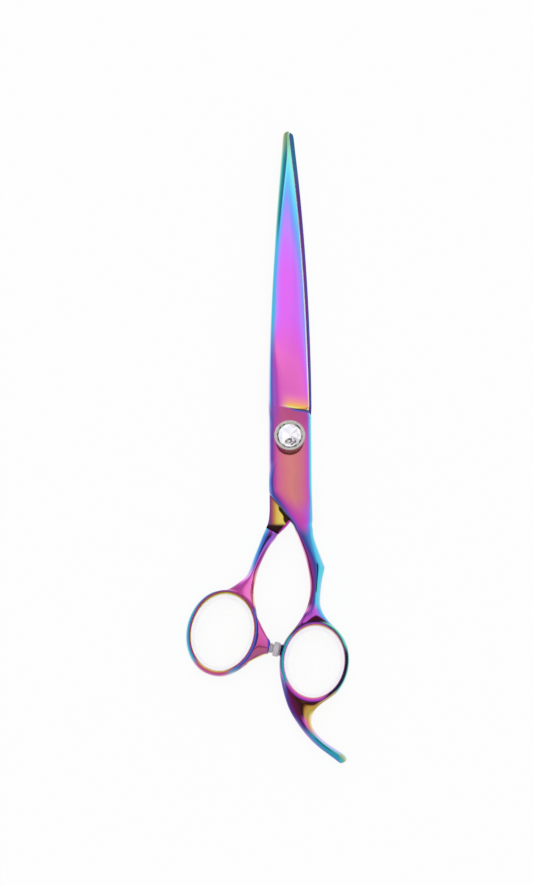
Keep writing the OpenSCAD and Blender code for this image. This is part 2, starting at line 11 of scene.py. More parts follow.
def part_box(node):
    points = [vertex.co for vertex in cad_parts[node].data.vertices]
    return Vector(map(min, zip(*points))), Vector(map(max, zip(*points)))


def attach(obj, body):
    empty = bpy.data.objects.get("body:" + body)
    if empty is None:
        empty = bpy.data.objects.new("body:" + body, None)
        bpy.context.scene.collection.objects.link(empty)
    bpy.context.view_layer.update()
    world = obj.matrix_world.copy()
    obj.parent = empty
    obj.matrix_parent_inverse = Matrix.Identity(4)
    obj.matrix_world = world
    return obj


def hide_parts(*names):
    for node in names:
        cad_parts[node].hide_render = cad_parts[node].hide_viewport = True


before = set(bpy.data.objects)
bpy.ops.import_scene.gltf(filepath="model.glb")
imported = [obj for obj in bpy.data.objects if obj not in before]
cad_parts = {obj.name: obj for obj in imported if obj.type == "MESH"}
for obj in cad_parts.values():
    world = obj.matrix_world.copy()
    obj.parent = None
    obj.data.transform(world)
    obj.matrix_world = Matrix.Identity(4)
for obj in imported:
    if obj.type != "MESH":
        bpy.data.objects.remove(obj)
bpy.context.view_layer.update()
MM = 0.001

# Finger half: the front forging, from its tip down to the ring and the curved tang.
# It is one piece of drop forged stainless steel, ground, polished and coated in a vacuum with a thin
# titanium film. A smooth skin is drawn over a cage of section rows, then the pivot is bored.
full_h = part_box("moving_half")[1].z / 2 / MM
tip_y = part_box("still_half")[1].y / MM
half_thk = 2.8
half_w = 6.85
tip_half_w = 1.52
tip_thk = 1.3
tip_r = 1.1
tip_keep = 0.5
step_y = 10.0
step_slant = 0.12
face_z = full_h - half_thk
taper_power = 1.9
edge_inset = 0.4
edge_sweep = 0.7
bevel_w = 0.42
bevel_h = 0.6
margin_w = 1.7
spine_wide, spine_slim = 2.6, 1.0
swell_h = 0.16
hollow_h = 0.2
neck_square = 5
# Each blade lies this far to its own side, and comes back a little at the tip
blade_aside = 0.47
tip_back = 0.17
# Points of a section, the rows of the cage that stand out, and the places of the three finishes
SECTION = 16
SKIN_LEVEL = 3
STEP_ROW = 13
NECK_LAST = 24
HONED_ROWS = 11
HUMP_ROW = 31
COATED, HONED, GROUND = 0, 1, 2


def mix(a, b, t):
    return a + (b - a) * t


def oval(rise, square):
    """Sixteen points of a section as share across and height: left edge, over the top, right edge, under."""
    points = []
    for k in range(SECTION):
        turn = math.radians(180 - 360 * k / SECTION)
        across = math.copysign(abs(math.cos(turn)) ** (2 / square), math.cos(turn))
        up = math.copysign(abs(math.sin(turn)) ** (2 / square), math.sin(turn))
        points.append(((1 + across) / 2, rise * up))
    return points


def row(edges, profile, floor=-full_h):
    """A section stood on the line between its left and right edge, with nothing under the floor."""
    left, right = Vector(edges[:2]), Vector(edges[2:])
    return [(*left.lerp(right, share), max(z, floor)) for share, z in profile]


def blade_row(y, drift, skew=0.0):
    """A ground blade: rounded spine, ridge, swollen outer face, honed bevel and hollow inner face."""
    u = max(0.0, (y - step_y) / (tip_y - step_y))
    half = half_w - (half_w - tip_half_w) * u ** taper_power
    left, right = -half, half - edge_inset - edge_sweep * (1 - (1 - u) ** 3)
    thk = mix(half_thk, tip_thk, u)
    strip = max(spine_slim, mix(spine_wide, spine_slim, u / 0.38)) + 1.2 * max(0.0, (u - 0.55) / 0.45)
    ridge = left + min(strip, 0.55 * (right - left))
    bevel_x = right - min(bevel_w, 0.25 * (right - left))
    bevel_top = min(bevel_h + 0.35 * u * u, 0.7 * thk)
    margin = min(margin_w, 0.32 * (bevel_x - ridge))
    roll_x, roll_z = bevel_x - margin, bevel_top + 0.5 * margin
    swell = swell_h * (1 - 0.6 * u)
    points = [(left, 0.0), (left, 0.75 * thk), (mix(left, ridge, 0.2), 0.9 * thk), (ridge, thk)]
    points.append((mix(ridge, roll_x, 0.5), mix(thk, roll_z, 0.5) + swell))
    points += [(roll_x, roll_z), (bevel_x, bevel_top), (right, 0.1), (right, 0.0)]
    for k in range(7):
        s = 1 - (k + 1) / 8
        q = min(max((s - 0.12) / 0.74, 0), 1)
        points.append((mix(left, right, s), hollow_h * (1 - 0.5 * u) * 4 * q * (1 - q)))
    # The tip is rounded on the side of the spine
    tip = min(max(0.0, (y - (tip_y - tip_r)) / tip_r), 1.0)
    keep = max(tip_keep, math.sqrt(1 - tip * tip))
    aside = mix(drift, math.copysign(blade_aside, drift), min(1, u / 0.5))
    aside -= math.copysign(tip_back, drift) * max(0, u * 4 - 3)
    return [(mix(right, x, keep) + aside, y - skew * x, face_z + z * mix(0.6, 1, keep)) for x, z in points]


def blade_and_neck(drift, wider):
    """Rows from the tip to the crotch. Both halves share them, but for a slight drift of the blade to a side
    and how much wider the right side of the neck is."""
    rows = [blade_row(y, drift) for y in (tip_y, tip_y - 0.4, tip_y - 1.4)]
    rows += [blade_row(y, drift) for y in (99.5, 93, 84, 74, 63, 51, 39, 28, 19, 13.5)]
    last = blade_row(step_y, drift, step_slant)
    # The face of the step slopes back where the blade is thin
    outer = SECTION // 2 + 1
    rows.append([(x, y + max(0.0, 0.8 * (full_h - z) - 0.3), z) for x, y, z in last[:outer]] + last[outer:])
    ricasso = oval(full_h, neck_square)
    for y, slant, corner in (
        (9.75, step_slant, 0.4), (7.75, step_slant / 2, 0), (5.5, 0, 0), (0, 0, 0), (-6, 0, 0), (-12, 0, 0),
    ):
        right = half_w - corner + wider * (corner == 0)
        rows.append(row((-half_w, y + slant * half_w, right, y - slant * right), ricasso, face_z))
    # The spine runs on past the step without a break
    for number, share in ((STEP_ROW + 1, 0.0), (STEP_ROW + 2, 0.5)):
        for k in range(4):
            x, y, z = rows[number][k]
            rows[number][k] = (mix(last[k][0], x, share), y, mix(last[k][2], z, share))
    for edges, square in (
        ((-half_w, -16.2, half_w + wider, -14.2), neck_square),
        ((-6.4, -18.6, 6.87 + wider, -16.8), 4.9),
        ((-3.77, -22.1, 6.92 + wider, -20.2), 4.7),
        ((-1.14, -25.6, 6.95 + wider, -23.8), 4.5),
    ):
        rows.append(row(edges, oval(full_h, square), face_z))
    return rows


def ring_point(ring, turn, out):
    """A point that far outside the oval hole of a ring, turned from the ring top."""
    x, y, long, short, lean = ring
    turn, lean = math.radians(turn), math.radians(lean)
    normal = Vector((math.cos(turn) / long, math.sin(turn) / short)).normalized()
    spot = Vector((long * math.cos(turn), short * math.sin(turn))) + out * normal
    return Vector((x, y)) + Matrix.Rotation(lean, 2) @ spot


BAND = 2.0
band_section = []
for turn in (0, 30, 90, 150, 180, 225, 270, 315):
    t = math.radians(turn)
    band_section.append((BAND / 2 * (1 + math.sin(t)), full_h * math.cos(t)))


def band_point(ring, turn, k):
    """A point of the oval ring section, which goes from the crest over the outer flank to the under side."""
    out, z = band_section[k]
    return (*ring_point(ring, turn, out), z)


def rim(ring, turns):
    """The opening left in the outer flank of a ring where a shank, tang or spur grows out of it."""
    top = [band_point(ring, turn, 1) for turn in turns]
    under = [band_point(ring, turn, 3) for turn in reversed(turns)]
    return [band_point(ring, turns[0], 2), *top, band_point(ring, turns[-1], 2), *under]


def even(first, last, count):
    return [mix(first, last, k / (count - 1)) for k in range(count)]


def sheet(cage, wide, long):
    """A new sheet of quads in the cage, with the column and row of each of its points."""
    grid = bmesh.ops.create_grid(cage, x_segments=wide, y_segments=long, size=0.5)
    return {v: (round((v.co.x + 0.5) * wide), round((v.co.y + 0.5) * long)) for v in grid["verts"]}


def first_corner(place, face):
    """The lowest column and row of a face."""
    return [min(place[v][way] for v in face.verts) for way in (0, 1)]


def tube(cage, rows, crease, paint, ring_row):
    """A skin of quads through rows of section points. Its edges get their crease, its faces their finish.
    Each point keeps its share across the section, and whether it lies on a ring, for the film."""
    place = sheet(cage, SECTION, len(rows) - 1)
    sharp = cage.edges.layers.float["crease_edge"]
    for edge in {e for v in place for e in v.link_edges}:
        (i, j), (ii, jj) = sorted(place[v] for v in edge.verts)
        edge[sharp] = crease(i % SECTION, min(j, jj), i == ii)
    for face in {f for v in place for f in v.link_faces}:
        face.material_index = paint(*first_corner(place, face))
    share = cage.verts.layers.float["across"]
    ringed = cage.verts.layers.float["ring"]
    for v, (i, j) in place.items():
        v.co = rows[j][i % SECTION]
        v[share] = min(i, SECTION - i) / 4 - 1
        v[ringed] = float(j == ring_row)


def close_end(cage, points):
    """A flat face over the open end of a tube."""
    ends = {tuple(round(c, 4) for c in p) for p in points}
    verts = [v for v in cage.verts if tuple(round(c, 4) for c in v.co) in ends]
    edges = {e for v in verts for e in v.link_edges if e.is_boundary and e.other_vert(v) in verts}
    bmesh.ops.contextual_create(cage, geom=list(edges))


def ring_band(cage, ring, turns, section, openings=()):
    """A closed band round a ring, without the outer faces between the turns of each opening."""
    size, count = len(section), len(turns)
    place = sheet(cage, size, count)
    gone = []
    for face in {f for v in place for f in v.link_faces}:
        k, j = first_corner(place, face)
        if k in (1, 2) and any(first <= j < last for first, last in openings):
            gone.append(face)
    for v, (k, j) in place.items():
        out, z = section[k % size]
        v.co = (*ring_point(ring, turns[j % count], out), z)
        if "ring" in cage.verts.layers.float:
            v[cage.verts.layers.float["ring"]] = 1.0
    bmesh.ops.delete(cage, geom=gone, context="FACES")


def settle(obj, passes=5):
    """Moves the cage until its smooth skin runs through the points that the cage was given."""
    goal = [v.co.copy() for v in obj.data.vertices]
    for _ in range(passes):
        skin = obj.evaluated_get(bpy.context.evaluated_depsgraph_get()).data
        shift = [p - s.co for p, s in zip(goal, skin.vertices)]
        for v, d in zip(obj.data.vertices, shift):
            v.co += d
        obj.data.update()
        bpy.context.view_layer.update()


def new_object(name, shape, matrix=Matrix.Identity(4)):
    """An object at the origin from a mesh in millimetres, with its normals outwards."""
    bmesh.ops.remove_doubles(shape, verts=shape.verts, dist=0.002)
    bmesh.ops.transform(shape, matrix=Matrix.Scale(MM, 4) @ matrix, verts=shape.verts)
    bmesh.ops.recalc_face_normals(shape, faces=shape.faces)
    mesh = bpy.data.meshes.new(name)
    shape.to_mesh(mesh)
    shape.free()
    obj = bpy.data.objects.new(name, mesh)
    bpy.context.scene.collection.objects.link(obj)
    return obj


def rod(radius, low, high, matrix=Matrix.Identity(4), flats=None):
    """A cutter or boss: a round bar along Z between two heights, with two flats if asked for."""
    bar = bmesh.new()
    middle = matrix @ Matrix.Translation((0, 0, (low + high) / 2))
    bmesh.ops.create_cone(bar, cap_ends=True, segments=96, radius1=radius, radius2=radius, depth=high - low)
    for v in bar.verts:
        if flats:
            v.co.x = min(max(v.co.x, -flats), flats)
    return new_object("rod", bar, middle)


def smooth_finish(obj, sharp_angle=32):
    """Smooth shading, with the edges that turn further than the angle left crisp."""
    for face in obj.data.polygons:
        face.use_smooth = True
    obj.data.set_sharp_from_angle(angle=math.radians(sharp_angle))


def forge(name, cage, matrix, cuts, bosses):
    """Draws the smooth skin over the cage, adds the bosses and bores the holes."""
    half = new_object(name, cage, matrix)
    skin = half.modifiers.new("skin", "SUBSURF")
    skin.levels = skin.render_levels = 1
    settle(half)
    skin.levels = skin.render_levels = SKIN_LEVEL
    for tool, work in [(b, "UNION") for b in bosses] + [(c, "DIFFERENCE") for c in cuts]:
        cut = half.modifiers.new("cut", "BOOLEAN")
        cut.object, cut.operation, cut.solver = tool, work, "EXACT"
    bpy.context.view_layer.update()
    made = half.evaluated_get(bpy.context.evaluated_depsgraph_get())
    half_mesh = bpy.data.meshes.new_from_object(made)
    half.modifiers.clear()
    half.data = half_mesh
    for tool in bosses + cuts:
        bpy.data.objects.remove(tool)
    smooth_finish(half)
    return half


def half_crease(i, j, along):
    """Crisp lines of a half: cutting edge, bevel, spine foot, tip ridge, step and shoulder."""
    if along:
        if j < STEP_ROW and i in (6, 7, 8, 0):
            return 1.0
        if j < STEP_ROW and i == 3:
            return max(0.0, 1 - j / STEP_ROW)
        return 1.0 if j < NECK_LAST and i in (0, 8) else 0.0
    if j == 0:
        return 0.6
    if j in (STEP_ROW, STEP_ROW + 1) and 3 <= i < 8:
        return 0.4 if i == 3 else 0.9
    return 1.0 if j in (NECK_LAST, NECK_LAST + 3) and i >= 8 else 0.0


def finger_crease(i, j, along):
    """The finger shank has a hump with a crisp corner on its outer side."""
    return 0.7 if j == HUMP_ROW and not along and 5 <= i <= 10 else half_crease(i, j, along)


def half_paint(i, j):
    """The finish of a face: honed bevel, ground inner face or coat."""
    if j < HONED_ROWS and i == 6:
        return HONED
    return GROUND if j < NECK_LAST + 3 and i >= 8 else COATED


def no_crease(i, j, along):
    return 0.0


def all_coated(i, j):
    return COATED


shank_y = -27.5
shank_fade = 14
shank_h = 2.45
shank_square = (4.4, 1.55)


def shank(rows, plan):
    """Rows under the neck: the hollow shoulder first, then the free shank, which gets slimmer and rounder."""
    hollow = (face_z, face_z, face_z - 0.55, face_z - 1.8, -full_h)
    for k, edges in enumerate(plan):
        fade = min(max((shank_y - (edges[1] + edges[3]) / 2) / shank_fade, 0), 1)
        floor = hollow[k] if k < len(hollow) else -full_h
        rows.append(row(edges, oval(mix(full_h, shank_h, fade), mix(*shank_square, fade ** 0.6)), floor))
    return rows


# Middle of the ring hole, its two half axes and the lean of the longer one
finger_ring = (7.4, -73.1, 11.4, 9.3, 82.5)
finger_shank_turns = even(45, -30, 7)
tang_turns = even(105, 232, 7)
finger_turns = finger_shank_turns + [-50, -70, -90, -110]
finger_turns += [t - 360 for t in reversed(tang_turns)] + [-275, -295]
finger_openings = [(0, 6), (11, 17)]
# Left and right edge of each row, down the shank and along the tang
finger_plan = [
    (0.9, -28.4, 7.3, -26.6),
    (1.46, -29.8, 7.13, -28.28),
    (1.94, -30.98, 7.31, -29.55),
    (2.14, -31.48, 7.38, -30.08),
    (2.18, -31.58, 7.4, -30.18),
    (2.85, -33.4, 7.85, -33.1),
    (4.4, -37.9, 9.5, -37.9),
    (5.5, -42.0, 11.05, -42.3),
    (6.2, -46.5, 10.2, -46.3),
    (6.2, -50.6, 9.6, -50.9),
    (5.4, -54.6, 9.7, -55.4),
    (3.4, -58.9, 11.6, -59.2),
]
tang_plan = [
    (-1.4, -86.6, 7.9, -88.0),
    (1.0, -91.5, 6.35, -91.4),
    (4.4, -96.3, 7.0, -94.6),
    (8.6, -100.5, 10.5, -98.6),
    (13.5, -104.2, 15.2, -101.9),
    (15.5, -105.6, 17.4, -103.9),
]


def branch(ring, turns, plan, first_edges, heights, squares):
    """Rows of a tang or spur, from the ring outwards. The first one lies between the ring and the plan."""
    root = rim(ring, turns)
    rows = []
    for k, edges in enumerate(plan):
        t = k / (len(plan) - 1)
        rows.append(row(edges, oval(mix(*heights, t), mix(*squares, t))))
    bridge = [tuple(Vector(a).lerp(Vector(b), 0.5)) for a, b in zip(root, rows[0])]
    bridge[0] = (*first_edges[:2], 0)
    bridge[SECTION // 2] = (*first_edges[2:], 0)
    return [root, bridge, *rows]


def half_cage(neck_rows, ring, turns, shank_turns, plan, branch_rows, openings, crease):
    """The cage of a half: blade, neck and shank in one tube, its tang or spur, and the ring between."""
    cage = bmesh.new()
    cage.edges.layers.float.new("crease_edge")
    cage.verts.layers.float.new("across")
    cage.verts.layers.float.new("ring")
    rows = shank(neck_rows, plan) + [rim(ring, shank_turns)]
    tube(cage, rows, crease, half_paint, len(rows) - 1)
    close_end(cage, rows[0])
    tube(cage, branch_rows, no_crease, all_coated, 0)
    close_end(cage, branch_rows[-1])
    ring_band(cage, ring, turns, band_section, openings)
    return cage


# Line of the rubber bumper, from the end of the spur down to the landing pad on the finger ring
bumper_slope = math.radians(12)
bumper_line = Matrix.Translation((-7.02, -68.39, full_h)) @ Matrix.Rotation(-bumper_slope, 4, "Z")
bumper_line = bumper_line @ Matrix.Rotation(math.pi / 2, 4, "Y")
bumper_len = 3.5
bumper_gap = 0.12
pad_r = 1.9
pad_len = 1.2

bush_r = 3.2
washer_r = 5.33
washer_cut = 0.38
inner_high = full_h + face_z
finger_drift = 0.02
finger_wider = 0.33
tang_rows = branch(finger_ring, tang_turns, tang_plan, (-3.2, -80.1, 12.0, -84.9), (2.4, 1.6), (1.9, 1.5))
finger_half = forge(
    "finger_half",
    half_cage(
        blade_and_neck(finger_drift, finger_wider), finger_ring, finger_turns, finger_shank_turns,
        finger_plan, tang_rows, finger_openings, finger_crease,
    ),
    Matrix.Translation((0, 0, full_h)),
    cuts=[rod(bush_r, 1, 8), rod(washer_r, 1, inner_high + washer_cut)],
    bosses=[rod(pad_r, bumper_len + bumper_gap, bumper_len + bumper_gap + pad_len, bumper_line)],
)


def srgb(code):
    """Linear colour of a six figure sRGB code."""
    parts = [int(code[k : k + 2], 16) / 255 for k in (0, 2, 4)]
    return (*(c / 12.92 if c <= 0.04045 else ((c + 0.055) / 1.055) ** 2.4 for c in parts), 1.0)


def add(tree, kind, links=None, stops=None, **settings):
    """Adds a node with its settings. A link is a number, a colour, a socket, or a node for its output."""
    node = tree.nodes.new("ShaderNode" + kind)
    for name, value in settings.items():
        setattr(node, name, value)
    for name, value in (links or {}).items():
        if isinstance(value, bpy.types.Node):
            value = next(o for o in value.outputs if o.enabled)
        if isinstance(value, bpy.types.NodeSocket):
            tree.links.new(value, node.inputs[name])
        else:
            node.inputs[name].default_value = value
    for k, (at, code) in enumerate(stops or ()):
        ramp = node.color_ramp.elements
        stop = ramp[k] if k < 2 else ramp.new(at)
        stop.position, stop.color = at, srgb(code)
    return node


def finish_of(name, **sockets):
    """A new material with the constants of its shader set. Gives the material, its nodes and its shader."""
    made = bpy.data.materials.new(name)
    made.use_nodes = True
    shader = made.node_tree.nodes["Principled BSDF"]
    for socket, value in sockets.items():
        shader.inputs[socket.replace("_", " ")].default_value = value
    return made, made.node_tree, shader


def two_tone(tree, shader, pattern, tones, relief=None):
    """Base colour in two tones by a pattern, which can also raise the skin by a strength and a height."""
    shade = add(tree, "ValToRGB", {"Fac": pattern}, tones)
    tree.links.new(shade.outputs[0], shader.inputs["Base Color"])
    if relief:
        strength, height = relief
        bump = add(tree, "Bump", {"Height": pattern, "Strength": strength, "Distance": height})
        tree.links.new(bump.outputs[0], shader.inputs["Normal"])


def surface(tree):
    """Where a point of the skin lies: its coordinates, and in millimetres its place, x and y."""
    place = add(tree, "TexCoord")
    spot = add(tree, "VectorMath", {0: place.outputs["Object"], "Scale": 1 / MM}, operation="SCALE")
    split = add(tree, "SeparateXYZ", {"Vector": spot})
    return place, spot, split.outputs["X"], split.outputs["Y"]


def film(tree, value, stops):
    """Colour of the film at a value, from stops of value and colour."""
    low, high = min(stops), max(stops)
    share = add(tree, "MapRange", {"Value": value, "From Min": low, "From Max": high})
    ramp = [((at - low) / (high - low), code) for at, code in stops.items()]
    return add(tree, "ValToRGB", {"Fac": share}, ramp)


def lay(tree, under, over, value, none, full):
    """One colour laid over another, from nothing of it at one value to all of it at another."""
    inputs = {"Value": value, "From Min": none, "From Max": full}
    share = add(tree, "MapRange", inputs, interpolation_type="SMOOTHSTEP")
    return add(tree, "Mix", {"Factor": share, 6: under, 7: over}, data_type="RGBA").outputs[2]


def apart(tree, value, middle):
    """How far a value is from a middle, to either side."""
    off = add(tree, "Math", {0: value, 1: -middle}, operation="ADD")
    return add(tree, "Math", {0: off}, operation="ABSOLUTE")


def oval_share(tree, spot, centre, reach, turn=0.0):
    """Distance from a centre as seen from above, where 1 is the rim of an oval of that reach."""
    inputs = {"Vector": spot, "Location": (*centre, 0), "Rotation": (0, 0, turn), "Scale": (*reach, 1e4)}
    place = add(tree, "Mapping", inputs, vector_type="TEXTURE")
    return add(tree, "VectorMath", {0: place}, operation="LENGTH")


def lean_to(tree, normal, direction):
    """How far the surface leans to a side, and the same drawn out so that small leans count for more."""
    lean = add(tree, "VectorMath", {0: normal, 1: direction}, operation="DOT_PRODUCT")
    size = add(tree, "Math", {0: lean}, operation="ABSOLUTE")
    size = add(tree, "Math", {0: size, 1: 0.65}, operation="POWER")
    sign = add(tree, "Math", {0: lean}, operation="SIGN")
    return lean, add(tree, "Math", {0: size, 1: sign}, operation="MULTIPLY")


# Direction in which leans are read
LEAN_X, LEAN_Y = 0.94, 0.34
# Film colours by lean, from the left flank of a bar over its crest to the right flank
NECK = {
    -1: "FFD8FE", -0.87: "F4C4FC", -0.66: "C09CE8", -0.55: "6066B6", -0.45: "5C448E", -0.34: "7E4296",
    -0.24: "9E419E", -0.17: "B54C98", -0.11: "C6628F", -0.05: "CE747F", 0: "D07E7D", 0.06: "CC777C",
    0.11: "CB6F8D", 0.17: "CD629E", 0.24: "C95BAC", 0.34: "C658BE", 0.46: "BA5ACC", 0.55: "A06ED8",
    0.7: "6F91DE", 0.88: "6CC6E2", 1: "B9F5F6",
}
NECK_TOP = {
    -1: "FFE4FE", -0.84: "EAC2FA", -0.58: "8090E0", -0.5: "5268A8", -0.37: "664B98", -0.26: "8E48A4",
    -0.2: "9C48A2", -0.14: "A84A96", -0.05: "B45482", 0.05: "AE507F", 0.17: "B44996", 0.3: "B04BA4",
    0.5: "B052B0", 0.62: "A05CB4", 0.8: "78A8D8", 1: "BEE8EC",
}
NECK_FOOT = {
    -1: "4A5484", -0.9: "3A5E9E", -0.75: "5656A2", -0.55: "844DB2", -0.4: "9A48B6", -0.25: "AA45B0",
    -0.12: "BC4AAA", 0: "C04FAC", 0.08: "C14FBC", 0.15: "B457D2", 0.22: "A068DE", 0.32: "7C80E0",
    0.48: "54A8E2", 0.68: "5CCCEE", 0.85: "5CC0E2", 1: "C8E7FD",
}
FINGER_SHANK = {
    -1: "FFDCE8", -0.92: "E496C8", -0.85: "86296A", -0.75: "7E347E", -0.62: "603C98", -0.48: "3E4290",
    -0.3: "3C4C8C", -0.05: "4664A8", 0.2: "4878C0", 0.35: "4090C8", 0.5: "4AB0DE", 0.65: "58CCEC",
    0.78: "5CD2DC", 0.87: "8CCAF4", 1: "E0ECFF",
}
FINGER_WEB = {
    -0.95: "FFE9FC", -0.72: "E493DA", -0.67: "9A58C4", -0.61: "7A409C", -0.53: "9C4EB8", -0.48: "B54DC2",
    -0.3: "BE53CB", 0.2: "C058CF", 0.5: "C05CD8", 0.6: "B866E3", 0.7: "8F82E6", 0.76: "5E90DB",
    0.84: "5CC6F4", 0.92: "8ABEF2", 1: "D8DCFC",
}
# Film round the finger ring, by the share from its hole to its outer edge. The dark outer stops of
# # RING_TOP and the dark middle stops of RING_MINT and RING_RIGHT are painted dark reflections
RING_LEFT = {
    0: "FCF0F0", 0.08: "F4D0D0", 0.18: "E890B8", 0.26: "B080D0", 0.36: "4AA8DC", 0.5: "2FA4AC",
    0.65: "1F8C8C", 0.8: "1C6A78", 0.88: "3A4080", 0.94: "A048C0", 1: "F0B8F0",
}
RING_TOP = {
    0: "F4F0D8", 0.1: "E0CC98", 0.18: "C89060", 0.26: "C05090", 0.36: "A048B0", 0.46: "6A40A0",
    0.56: "43206A", 0.66: "36172D", 1: "36172D",
}
RING_MINT = {
    0: "FAF4E0", 0.12: "DDB878", 0.24: "C070A0", 0.34: "6A3A90", 0.42: "1F3A50", 0.52: "48B098",
    0.7: "70DCB8", 0.85: "78DCE0", 0.95: "B8C8F8", 1: "E8E4FC",
}
RING_RIGHT = {
    0: "FAF6E4", 0.12: "E8D890", 0.25: "B058A8", 0.35: "5A2A78", 0.45: "141C34", 0.7: "12222E",
    0.8: "1A6A68", 0.88: "2CA898", 0.95: "98E4DC", 1: "E0F8F4",
}
RING_FOOT = {
    0: "F8F4E8", 0.15: "E8D0A8", 0.3: "E880B0", 0.5: "C048B8", 0.7: "9A38B0", 0.85: "5A2068", 1: "3A1428",
}
# Root of the tang: its dark stops are a painted dark reflection
TANG_ROOT = {
    -1: "E8A8E0", -0.97: "B878C8", -0.92: "5A62B0", -0.84: "4A3A86", -0.7: "632366", -0.55: "591A42",
    -0.35: "4A1E2C", -0.15: "34191A", 0.08: "3A1E18", 0.2: "7A4A24", 0.3: "B08440", 0.45: "B89A48",
    0.6: "B69A4A", 0.7: "D0BE70", 0.8: "ECE4AC", 1: "F6F2DC",
}
TANG_MIDDLE = {
    -1: "E8B0E0", -0.92: "8F70B9", -0.86: "4F59A6", -0.72: "583480", -0.6: "4A1C4B", -0.52: "501848",
    -0.4: "973697", -0.2: "B952C3", 0.2: "D05DB7", 0.4: "E377A9", 0.55: "D88688", 0.7: "C88E5F",
    0.8: "E6BD7A", 0.9: "EFD59D", 1: "F6ECD8",
}
TANG_END = {
    -1: "F0BCEA", -0.9: "B48CD8", -0.84: "5A86C0", -0.76: "2E90B4", -0.65: "2E98B0", -0.5: "2E90A8",
    -0.3: "3A8C98", 0.25: "4A94A0", 0.5: "529CAE", 0.6: "7CC0C2", 0.7: "A0CEF0", 0.78: "D0BCFA",
    0.86: "F0C0F4", 1: "FAE4F8",
}
TANG_TIP = {
    -1: "F4D8F4", -0.85: "B0B8E8", -0.7: "40B0C0", -0.3: "58B898", 0: "88A878", 0.3: "A8986A",
    0.6: "B0A078", 0.8: "A8D0B0", 1: "D8F0E0",
}
# Lower left corner of the neck: a painted reflection of a chamfer, by its distance from a round, and the
# flank under it by its lean
PAINTED_CHAMFER = {
    0.985: "9A44A6", 1: "5A3C94", 1.015: "2C4688", 1.04: "4470BE", 1.07: "7C86DC", 1.1: "C8B8F4",
    1.12: "F0E0FC",
}
NECK_LEFT = {
    -1: "6A84CC", -0.87: "4A6CBC", -0.7: "3A4C98", -0.5: "50408E",
}
# Right edge of the neck, by the share across the section
NECK_EDGE = {
    0.36: "B05AC4", 0.46: "8A80DC", 0.54: "5AB0E0", 0.64: "6CD8E4", 0.82: "A8ECF0", 1: "DCF8F8",
}
# Face of the blade by the growth of the film: violet from its start, mint at the tip
BLADE_FACE = {
    0.1: "8C50B8", 0.22: "AA46AE", 0.3: "CE5AB8", 0.37: "E26CC2", 0.41: "E66ECC", 0.45: "E068DA",
    0.49: "DA68EC", 0.53: "CC74F8", 0.57: "BE84FC", 0.62: "A48EFA", 0.67: "829EF8", 0.72: "70B2F8",
    0.78: "6ACCFC", 0.85: "76E2F8", 0.92: "88EEE8", 1: "98EED0", 1.15: "88B888",
}
# Spine of the blade, by the share across the section from the edge to the ridge
SPINE_LOW = {
    -0.75: "FCE8FE", -0.56: "E2C8F8", -0.49: "7FAAEA", -0.435: "427EB2", -0.39: "5458A0", -0.34: "7E58B8",
    -0.29: "9A50BA", -0.25: "A44CB0",
}
SPINE_MIDDLE = {
    -0.75: "F8F0FE", -0.55: "C0E4F2", -0.48: "80CCE0", -0.4: "42B4CE", -0.3: "4AB6DA", -0.25: "4EA4E0",
}
SPINE_HIGH = {
    -0.75: "E8F4EC", -0.55: "A8D8C8", -0.48: "60B4A8", -0.42: "309898", -0.35: "247890", -0.27: "245C88",
    -0.25: "3A70B0",
}
SPINE_TIP = {
    -0.75: "E8D8D0", -0.5: "B8A884", -0.4: "84A06C", -0.25: "4A8B6B",
}
# The step, by millimetres along the blade: a blue line and a dark one under it, then gold, salmon and pink
STEP_FOOT = {
    8.95: "A0409A", 9.15: "7048B0", 9.4: "4A68C8", 9.62: "4A4A90", 9.85: "4A3440", 10.1: "6A5430",
    10.35: "C8B868",
}
STEP = {
    10.1: "A89850", 10.3: "E0D488", 10.5: "F2ECB0", 10.75: "E8CC50", 11.1: "F0C058", 11.5: "F2AC78",
    12.4: "F09498", 14.2: "EC80B8", 17: "E46CC4",
}


def painted_reflection_streak(tree, shade, code, across, middle, wide, y, top, foot):
    """A painted dark reflection along the crest of a bar, between two heights."""
    fade = 1.5
    dark = lay(tree, shade, srgb(code), apart(tree, across, middle), wide, 0.35 * wide)
    dark = lay(tree, shade, dark, y, top, top - fade)
    return lay(tree, dark, shade, y, foot + fade, foot)


